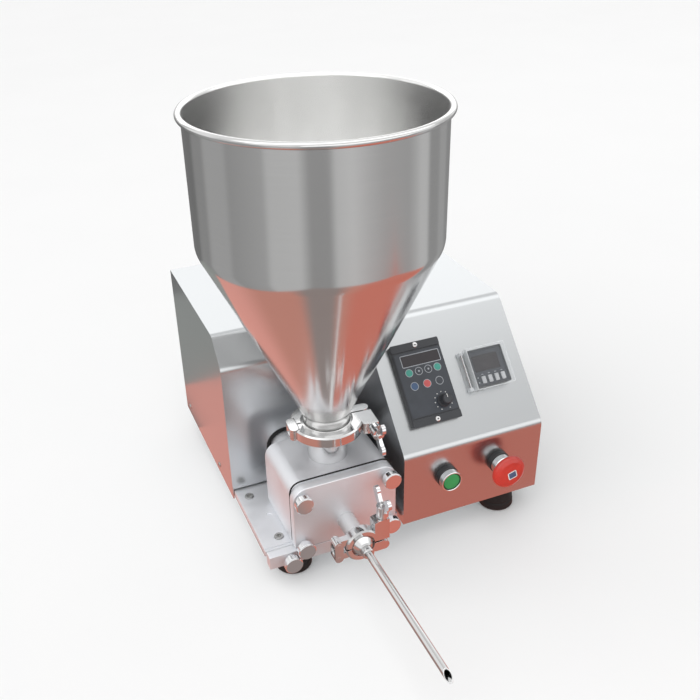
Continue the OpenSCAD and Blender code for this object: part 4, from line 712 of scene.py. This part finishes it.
OUTLET = [(7.7, 2), (10.2, 2)] + flange_below(15.2, 10.2, 40.9) + [(7.7, 40.9)]
piece("outlet_pipe", lathe(rounded(OUTLET, 0.4, 3), 96, True), SATIN_STEEL,
      where=ON_OUTLET_AXIS, replaces=["outlet_tube"])

NOZZLE = rounded([
    (7.7, 42.1), (15.2, 42.1), (15.2, 44.4), (13.0, 45.2), (7.7, 53.1), (6.5, 54.3), (6.5, 61.1),
    (5.5, 62.1), (4.02, 62.1), (4.02, 50.1)], 0.5, 3)
piece("nozzle_cone", lathe(NOZZLE, 96, True), CAST_STEEL, where=ON_OUTLET_AXIS, replaces=["nozzle_cap"])
piece("needle_tube", needle(), CAST_STEEL, where=ON_OUTLET_AXIS, replaces=["needle"])


# Clamps

for clamp, halves in (("hopper", ("front", "rear")), ("nozzle", ("upper", "lower"))):
    for half in halves:
        piece(f"{clamp}_clamp_half_{half}", from_cad(f"{clamp}_clamp_{half}", 0.9, 3), CAST_STEEL,
              replaces=[f"{clamp}_clamp_{half}"])
    piece(f"{clamp}_clamp_hinge", from_cad(f"{clamp}_clamp_link", 0.6, 3), CAST_STEEL,
          replaces=[f"{clamp}_clamp_link"])
    piece(f"{clamp}_wings", from_cad(f"{clamp}_wing_nut", 1.1, 3), MIRROR_STEEL, f"{clamp}_nut",
          replaces=[f"{clamp}_wing_nut"])


def thread(radius, length, pitch, depth):
    """Threaded rod along Z, with one helical groove and a chamfered end."""
    steps, rows_per_pitch, chamfer_h, chamfer_r = 40, 8, 1.2, 0.8
    bm = bmesh.new()
    rows = int(length / pitch * rows_per_pitch)
    rings = []
    for k in range(rows + 1):
        z = length * k / rows
        tip = 1 - min(1.0, (length - z) / chamfer_h)
        ring = []
        for i in range(steps):
            a = 2 * math.pi * i / steps
            groove = abs(((z / pitch - i / steps) % 1.0) * 2 - 1)
            r = radius - depth * groove - chamfer_r * tip
            ring.append(bm.verts.new((r * math.cos(a), r * math.sin(a), z)))
        rings.append(ring)
    stitched(bm, rings, closed=False)
    bm.faces.new(list(reversed(rings[0])))
    bm.faces.new(rings[-1])
    return bm


def clamp_bolt():
    """Eye bolt in the clamp's frame: the eye turns about Z and the rod runs along -Y."""
    bore, eye_r, half_w, rod_start = 2.55, 5.5, 3.8, -4.2
    profile = [(bore, -half_w), (eye_r, -half_w), (eye_r, half_w), (bore, half_w)]
    eye = lathe(rounded(profile, 0.6, 3), 64, True)
    rod = thread(3.0, 48.3, 1.0, 0.45)
    return merged(moved(rod, shift(0, rod_start, 0) @ Matrix.Rotation(math.radians(90), 4, "X")), eye)


HOPPER_CLAMP = place((PUMP_X, HOPPER_Y, 130.7)) @ Matrix.Rotation(math.radians(-4.0), 4, "Z")
NOZZLE_CLAMP = place((PUMP_X, -41.5, OUTLET_Z), (1, 0, 0), (0, 0, -1), (0, 1, 0))
piece("hopper_eye_bolt", clamp_bolt(), CAST_STEEL, "hopper_bolt", HOPPER_CLAMP @ shift(44.9, 7.5, 0),
      ["hopper_clamp_bolt"])
piece("nozzle_eye_bolt", clamp_bolt(), CAST_STEEL, "nozzle_bolt", NOZZLE_CLAMP @ shift(24.8, 7.5, 0),
      ["nozzle_clamp_bolt"])


# Controls on the sloped panel

CONTROLLER_X, COUNTER_X, CONTROLS_S = 48.6, 128.7, 76.2
DIAL_X, DIAL_Y = 13.5, -25.3
CONTROLLER = on_slope(CONTROLLER_X, CONTROLS_S)
COUNTER = on_slope(COUNTER_X, CONTROLS_S)
DIAL = on_slope(CONTROLLER_X + DIAL_X, CONTROLS_S + DIAL_Y)

# Height of the controller's membrane, on which keys and marks lie
SKIN = 7.7


def case_behind(w, h, depth):
    """Closed case behind the panel."""
    return prism(rectangle(w, h, 1.0, steps=2), -depth, 0.5, 0.4)


def controller_case():
    """Case with a raised field and two ledges, membrane and window."""
    width, step, window_x, window_y = 60, 6.4, 1.9, 27.0
    body = prism(rectangle(width, 95, 3), 0, 7.0, 0.5)
    for y in (-43.0, 43.0):
        prism(rectangle(width, 9.0, 1.6, 0, y), step, 8.0, 0.5, body)
    prism(rectangle(58.6, 75.4, 1.2), step, 7.6, 0.35, body)
    merged(case_behind(54, 89, 55), body)
    piece("controller_case", body, BLACK, where=CONTROLLER, replaces=["controller_body"])
    membrane = prism(rectangle(56.6, 73.2, 1.6), 7.5, 7.85, 0.12)
    piece("controller_membrane", membrane, MEMBRANE, where=CONTROLLER)
    window = prism(rectangle(46.2, 12.0, 1.0, window_x, window_y), SKIN, 7.95, 0.1)
    piece("controller_window", window, WINDOW, where=CONTROLLER)
    window_frame = border(48.2, 14.0, 1.6, 0.8, SKIN, 8.0, window_x, window_y)
    piece("controller_window_frame", window_frame, PRINT_GREY, where=CONTROLLER)


def controller_keys():
    """Two rows of ringed keys, with a dot on two of them."""
    top_row, low_row, top_r, low_r, ring_w = 13.5, -2.2, 4.0, 4.2, 0.6
    key_top, ring_top = 8.05, 7.98
    dotted = (-4.5, 7.3)
    rings, teal, dark, blue, pink = (bmesh.new() for _ in range(5))
    keys = [(x, top_row, top_r, bm) for x, bm in ((-16.4, teal), (18.8, teal), *((x, dark) for x in dotted))]
    keys += [(x, low_row, low_r, bm) for x, bm in ((-14.8, blue), (0.8, pink), (16.2, dark))]
    for x, y, r, bm in keys:
        disc(x, y, r, SKIN, key_top, bm)
        ring_mark(x, y, r + ring_w, r, SKIN, ring_top, rings)
    for x in dotted:
        ring_mark(x, top_row, 1.1, 0.02, 8.2, 8.35, rings, 24)
    piece("key_rings", rings, PRINT_GREY, where=CONTROLLER)
    for name, bm, look in (("keys_teal", teal, TEAL), ("keys_dark", dark, MEMBRANE),
                           ("key_blue", blue, BLUE), ("key_red", pink, PINK)):
        piece(name, bm, look, where=CONTROLLER)


def dial_marks():
    """Dots round the speed knob."""
    reach, first, last, gaps = 10.4, 240, -60, 10
    marks = bmesh.new()
    for x, y in arc(DIAL_X, DIAL_Y, reach, first, last, gaps):
        ring_mark(x, y, 0.62, 0.02, SKIN, 7.95, marks, 16)
    piece("dial_marks", marks, WHITE, where=CONTROLLER)


def controller_screws():
    heads, recess_shades = bmesh.new(), bmesh.new()
    for y in (-43.2, 43.6):
        spot = shift(0.4, y, 7.9) @ Matrix.Rotation(0.5, 4, "Z")
        merged(moved(screw_head(), spot @ Matrix.Scale(0.85, 4)), heads)
        # Painted shade: dark bars stand for the shade in each head's cross recess.
        merged(moved(cross_recess(0.7, 1.08), spot @ Matrix.Scale(0.8, 4)), recess_shades)
    piece("controller_screws", heads, CAST_STEEL, where=CONTROLLER)
    piece("controller_screw_recess_shade", recess_shades, COLLAR, where=CONTROLLER)


def speed_knob():
    """Fluted knob with a pointer on its top."""
    flutes, flute_depth, flute_start, spindle = 20, 0.42, 11.2, 4

    def fluted(angle, r, z):
        if z < flute_start or r < spindle:
            return r
        return r - flute_depth * (0.5 + 0.5 * math.cos(flutes * angle)) ** 3

    profile = rounded([
        (0, -3), (3, -3), (3, 8.3), (7.5, 8.3), (7.5, 9.9), (6.6, 10.9), (6.5, 11.3), (5.8, 20.0),
        (4.9, 21.0), (0, 20.6)], 0.35, 3, False)
    piece("dial", lathe(profile, 240, False, fluted), BLACK, "speed_dial", DIAL, ["speed_knob"])
    pointer = prism(rectangle(0.8, 4.2, 0.3, 0, 3.2), 20.5, 21.0, 0.1)
    piece("dial_pointer", pointer, WHITE, "speed_dial", DIAL)


def counter_case():
    body = prism(rectangle(44, 44, 2), 0, 9.2, 0.5)
    merged(border(44, 44, 2, 2.2, 9.0, 10.0), body)
    merged(case_behind(40.5, 40.5, 60), body)
    piece("counter_case", body, BLACK, where=COUNTER, replaces=["counter_body"])


def counter_hinge():
    """Clear strip with two knuckles, and the pin on which the lid turns."""
    hinge_x, hinge_z, knuckle_y, half_w, pin_r, barrel_r = -27.5, 5, 21, 2, 1.4, 2.5
    along_y = Matrix.Rotation(math.pi / 2, 4, "X")
    strip = prism([(-31, -23), (-22.1, -23), (-22.1, 23), (-31, 23)], 0, 1.6, 0.3)
    for y in (-knuckle_y, knuckle_y):
        low, high = y - half_w, y + half_w
        prism([(-30, low), (-25, low), (-25, high), (-30, high)], 0, hinge_z, 0.3, strip)
        profile = [(0, -half_w), (barrel_r, -half_w), (barrel_r, half_w), (0, half_w)]
        barrel = lathe(rounded(profile, 0.3, 2, False), 32)
        merged(moved(barrel, shift(hinge_x, y, hinge_z) @ along_y), strip)
    # The hinge strip is drawn in the denser clear plastic, so it carries the same painted glint.
    piece("counter_hinge_strip", strip, CLEAR_GLINT, where=COUNTER)
    pin = lathe([(0, -knuckle_y), (pin_r, -knuckle_y), (pin_r, knuckle_y), (0, knuckle_y)], 24)
    piece("counter_hinge_pin", moved(pin, shift(hinge_x, 0, hinge_z) @ along_y), CAST_STEEL, where=COUNTER)


def counter_front():
    """Face, window, small marks and four keys."""
    key_count, key_step, key_middle = 4, 8.4, 1.1
    key_x = [key_middle + (i - (key_count - 1) / 2) * key_step for i in range(key_count)]
    piece("counter_face", prism(rectangle(39.6, 39.6, 1.0), 9.0, 9.35, 0.12), MEMBRANE, where=COUNTER)
    window = prism(rectangle(32.7, 19.0, 0.8, -2.3, 5.3), 9.2, 9.6, 0.12)
    piece("counter_window", window, WINDOW, where=COUNTER)
    marks = bmesh.new()
    for y in (-10.6, -16.4):
        disc(-18.0, y, 0.8, 9.2, 9.5, marks, 0.1, 16)
    for x in key_x:
        prism(rectangle(2.6, 0.7, 0.15, x, -7.6), 9.25, 9.45, 0.05, marks)
    piece("counter_marks", marks, PRINT_GREY, where=COUNTER)
    for i, x in enumerate(key_x, 1):
        key = prism(rectangle(4.8, 8.5, 1.0, x, -14.2), 8.4, 10.8, 0.5, segments=3)
        piece(f"counter_button_{i}", key, KEY_GREY, f"key_{i}", COUNTER, [f"counter_key_{i}"])


def counter_lid():
    """Clear lid, with a painted glint on the edges of its front and of its hinge side: a denser clear rim
    laid over them.
    """
    edge_w, edge_x, edge_h = 0.35, -24.175, 48.4
    piece("counter_lid", from_cad("counter_cover", 0.5, 3), CLEAR, "clear_lid", replaces=["counter_cover"])
    rim = border(49.0, 49.2, 1.6, 0.9, 13.2, 13.64, 0.4)
    prism(rectangle(edge_w, edge_h, 0, edge_x), 5.4, 13.3, 0.0, rim)
    piece("counter_lid_painted_edge_glint", rim, CLEAR_GLINT, "clear_lid", COUNTER)


for build in (controller_case, controller_keys, dial_marks, controller_screws, speed_knob,
              counter_case, counter_hinge, counter_front, counter_lid):
    build()


# Buttons on the upright panel

BUTTON_Z = 54.5
START = facing_front(52.5, 0, BUTTON_Z)
STOP = facing_front(119.5, 0, BUTTON_Z)


def start_button():
    """Flush green cap in a chrome bezel, on a dark ring and socket."""
    ring = rounded([
        (11.0, -2.0), (11.0, 0.1), (13.2, 0.1), (13.2, 5.6), (12.9, 6.4), (12.2, 6.4), (12.2, -2.0)], 0.4, 3)
    bezel = rounded([
        (10.9, 1.5), (10.9, 14.3), (11.3, 15.0), (12.2, 15.0), (12.7, 14.3), (12.7, 7.6), (12.2, 6.9),
        (12.2, 1.5)], 0.3, 3)
    socket = rounded([
        (4.06, -36), (11.0, -36), (11.0, 0.0), (11.0, 12.8), (10.2, 12.8), (10.2, 1.5), (4.06, 1.5)], 0.2, 2)
    cap = rounded([
        (0, -8), (4, -8), (4, 5.0), (9.9, 5.0), (9.9, 13.6), (9.1, 14.3), (0, 14.4)], 0.5, 4, False)
    piece("start_base_ring", lathe(ring, 96, True), COLLAR, where=START)
    piece("start_bezel", lathe(bezel, 96, True), CHROME, where=START, replaces=["start_button_bezel"])
    piece("start_socket", lathe(socket, 64, True), COLLAR, where=START)
    piece("start_cap", lathe(cap, 96), GREEN, "start_button", START, ["start_button_cap"])


def stop_button():
    """Red mushroom with a bare plate, on a stem that slides in a chrome sleeve."""
    ring = rounded([
        (11.0, -2.0), (11.0, 0.1), (13.0, 0.1), (13.0, 5.4), (12.4, 6.2), (11.6, 6.2), (11.6, -2.0)], 0.4, 3)
    sleeve = rounded([
        (6.06, -36), (11.0, -36), (11.0, 0.0), (11.5, 0.0), (11.5, 6.6), (12.2, 7.2), (12.0, 13.6),
        (11.2, 15.0), (6.06, 15.0)], 0.4, 3)
    stem = rounded([(0, -14), (6, -14), (6, 19.3), (4, 19.3), (4, 25.6), (0, 25.6)], 0.3, 2, False)
    head = rounded([
        (4.05, 25.9), (4.05, 19.6), (11.1, 19.6), (18.0, 20.4), (20.2, 22.4), (20.2, 24.8), (18.9, 27.4),
        (15.2, 29.6), (9.4, 30.4), (0, 30.6)], [0, 0.3, 1.0, 1.6, 1.6, 2.0, 2.4, 3.0, 2.0, 0], 5, False)
    on_head = shift(1.2, -0.6, 0) @ Matrix.Rotation(math.radians(16), 4, "Z")
    plate_rim = moved(border(11.0, 10.0, 1.8, 1.0, 30.2, 30.85), on_head)
    plate = moved(prism(rectangle(9.2, 8.2, 1.0), 30.2, 30.75, 0.1), on_head)
    piece("stop_base_ring", lathe(ring, 96, True), COLLAR, where=STOP)
    piece("stop_sleeve", lathe(sleeve, 96, True), CHROME, where=STOP, replaces=["stop_button_collar"])
    piece("stop_plunger_stem", lathe(stem, 64), COLLAR, "stop_plunger", STOP, ["stop_button_stem"])
    piece("stop_mushroom", lathe([(0, 25.9)] + head, 128), RED, "stop_head", STOP, ["stop_button_head"])
    piece("stop_plate_rim", plate_rim, WHITE, "stop_head", STOP)
    piece("stop_plate", plate, BLUE, "stop_head", STOP)


start_button()
stop_button()


# Mains inlet

piece("mains_inlet", from_cad("power_inlet", 0.3), BLACK, replaces=["power_inlet"])


# Floor, cards and light, in metres


def sheet(corners):
    bm = bmesh.new()
    bm.faces.new([bm.verts.new(c) for c in corners])
    return bm


def level(x0, x1, y0, y1, z):
    return sheet([(x0, y0, z), (x1, y0, z), (x1, y1, z), (x0, y1, z)])


def upright(x0, x1, z0, z1, y):
    return sheet([(x0, y, z0), (x1, y, z0), (x1, y, z1), (x0, y, z1)])


def stage_mesh(name, bm, look):
    obj = linked(name, bm, look)
    return obj


def pale_floor(color, rough=0.8):
    tree = Tree("pale_floor")
    cloud = tree.noise(tree.coordinates(), 3.0, 2.0)
    tree.set(Base_Color=tree.tinted(cloud, shade(color, 0.995), shade(color, 1.005)), Roughness=rough,
             Specular_IOR_Level=0.2)
    return tree.material


def card(name, bm, tone):
    """Card that only shows in the metal, as a photographer's flag does, and doesn't tint the floor.

    The tone is a colour, or a function that adds nodes for one.
    """
    neutral = (0.9, 0.9, 0.9, 1.0)
    tree = Tree(name)
    color = tone(tree) if callable(tone) else (*tone, 1.0)
    off_floor = tree.add("ShaderNodeLightPath").outputs["Diffuse Depth"]
    glow = tree.add("ShaderNodeEmission", Color=tree.mix("RGBA", off_floor, color, neutral))
    tree.put(tree.nodes["Material Output"].inputs["Surface"], glow.outputs["Emission"])
    tree.nodes.remove(tree.shader)
    obj = stage_mesh(name, bm, tree.material)
    obj.visible_camera = obj.visible_diffuse = obj.visible_shadow = False


def from_hopper(tree):
    """Place of a shaded point from the hopper's axis."""
    return tree.split(tree.vector("SUBTRACT", tree.geometry("Position"), HOPPER_AXIS))


def by_bearing(tones):
    """Tones by the bearing from the hopper's axis, in degrees from the front to the right."""
    def nodes(tree):
        local = from_hopper(tree)
        turn = tree.math("ARCTAN2", local["X"], tree.math("MULTIPLY", local["Y"], -1.0))
        return tree.toned(tree.math("MULTIPLY", turn, 180.0 / math.pi), tones)
    return nodes


def by_depth(tones):
    """Tones by the place along Y, in metres behind the hopper's axis."""
    return lambda tree: tree.toned(from_hopper(tree)["Y"], tones)


def soft_sun(name, towards, spread, strength):
    """One broad lamp, far away, so that the floor is evenly lit and shadows stay soft."""
    data = bpy.data.lights.new(name, "SUN")
    data.energy = strength
    data.angle = math.radians(spread)
    lamp = bpy.data.objects.new(name, data)
    lamp.rotation_mode = "QUATERNION"
    lamp.rotation_quaternion = Vector(towards).to_track_quat("-Z", "Y")
    bpy.context.scene.collection.objects.link(lamp)


def sky():
    """White sky to the eye, in metal and through glass, and a softer one as light."""
    seen_strength, light_strength = 1.0, 0.58
    world = bpy.data.worlds.new("studio")
    bpy.context.scene.world = world
    world.use_nodes = True
    nodes, links = world.node_tree.nodes, world.node_tree.links
    nodes.clear()
    paths = nodes.new("ShaderNodeLightPath")
    seen = paths.outputs["Is Camera Ray"]
    for key in ("Is Glossy Ray", "Is Transmission Ray"):
        most = nodes.new("ShaderNodeMath")
        most.operation = "MAXIMUM"
        links.new(seen, most.inputs[0])
        links.new(paths.outputs[key], most.inputs[1])
        seen = most.outputs[0]
    mix = nodes.new("ShaderNodeMixShader")
    links.new(seen, mix.inputs["Fac"])
    for socket, strength in zip(list(mix.inputs)[1:], (light_strength, seen_strength)):
        white = nodes.new("ShaderNodeBackground")
        white.inputs["Color"].default_value = (1, 1, 1, 1)
        white.inputs["Strength"].default_value = strength
        links.new(white.outputs[0], socket)
    links.new(mix.outputs[0], nodes.new("ShaderNodeOutputWorld").inputs["Surface"])


FLOOR = (-9.0, 9.0, -9.0, 9.0)
stage_mesh("floor", level(*FLOOR, 0), pale_floor((0.9, 0.9, 0.9)))
sky()
soft_sun("key", (0.58, 0.25, -0.775), 85, 1.95)

# The room and the red bench that show in the photograph's metal. The lifts keep cards off the floor
# and off each other.

ROOM_LIFT, BENCH_LIFT, SIDE_LIFT = 0.0004, 0.0006, 0.0008
BENCH_LEFT, BENCH_FRONT = (0.84, 0.38, 0.32), (0.64, 0.29, 0.23)
BENCH_SHADE, BENCH_RIGHT = (0.33, 0.275, 0.26), (0.70, 0.225, 0.17)

card("room_tone", level(*FLOOR, ROOM_LIFT), by_bearing([
    (-180, 0.18), (-152, 0.19), (-146, 0.30), (-132, 0.30), (-127, 0.42), (-104, 0.42), (-99, 0.34),
    (-67, 0.41), (-62, 0.55), (-37, 0.57), (-28, 0.33), (-13, 0.33), (-7, 0.57), (6, 0.62), (20, 0.51),
    (34, 0.43), (58, 0.40), (66, 0.48), (73, 0.58), (82, 0.58), (86, 0.33), (100, 0.33), (104, 0.40),
    (116, 0.38), (122, 0.28), (150, 0.26), (180, 0.20)]))
card("bench_tone", sheet([(x, y, BENCH_LIFT) for x, y in (
    (-0.42, -0.70), (0.60, -0.70), (0.60, -0.08), (0.18, -0.08), (0.18, 0.28), (-0.17, 0.28), (-0.17, 0.40),
    (-0.42, 0.40))]), by_bearing([
        (-180, BENCH_LEFT), (-125, BENCH_LEFT), (-98, BENCH_FRONT), (-52, BENCH_FRONT), (-36, BENCH_SHADE),
        (-8, BENCH_SHADE), (6, BENCH_FRONT), (22, BENCH_RIGHT), (90, BENCH_RIGHT), (180, BENCH_LEFT)]))
card("side_tone", level(-0.62, -0.17, 0.40, 0.72, SIDE_LIFT), (0.33, 0.345, 0.33))
card("room_wall", lathe([(7.0, 0.3), (7.0, 4.6)], 64), by_bearing([
    (-180, 0.95), (-166, 0.6), (-148, 0.6), (-140, 1.0), (-112, 1.0), (-104, 0.7), (-80, 0.7), (-72, 1.0),
    (-40, 1.0), (-33, 0.6), (-16, 0.6), (-8, 1.05), (28, 1.05), (35, 0.65), (52, 0.65), (58, 1.0), (84, 1.0),
    (91, 0.65), (112, 0.65), (118, 0.95), (150, 0.95), (158, 0.7), (168, 0.7), (180, 0.95)]))
card("ceiling_tone", level(-5.0, 6.0, -4.5, 2.4, 3.2), by_depth([
    (-4.5, 0.80), (-2.6, 0.80), (-2.2, 1.0), (-1.9, 1.3), (-1.6, 1.4), (-1.2, 1.65), (0.3, 1.65), (0.8, 0.90),
    (2.5, 0.95)]))
card("front_strip", upright(-2.0, 4.5, 0.35, 2.0, -3.0), (1.45, 1.45, 1.45))
card("rear_strip", upright(-1.5, 4.0, 1.0, 2.8, 3.0), (1.6, 1.6, 1.6))
bpy.context.scene.view_settings.view_transform = "Standard"
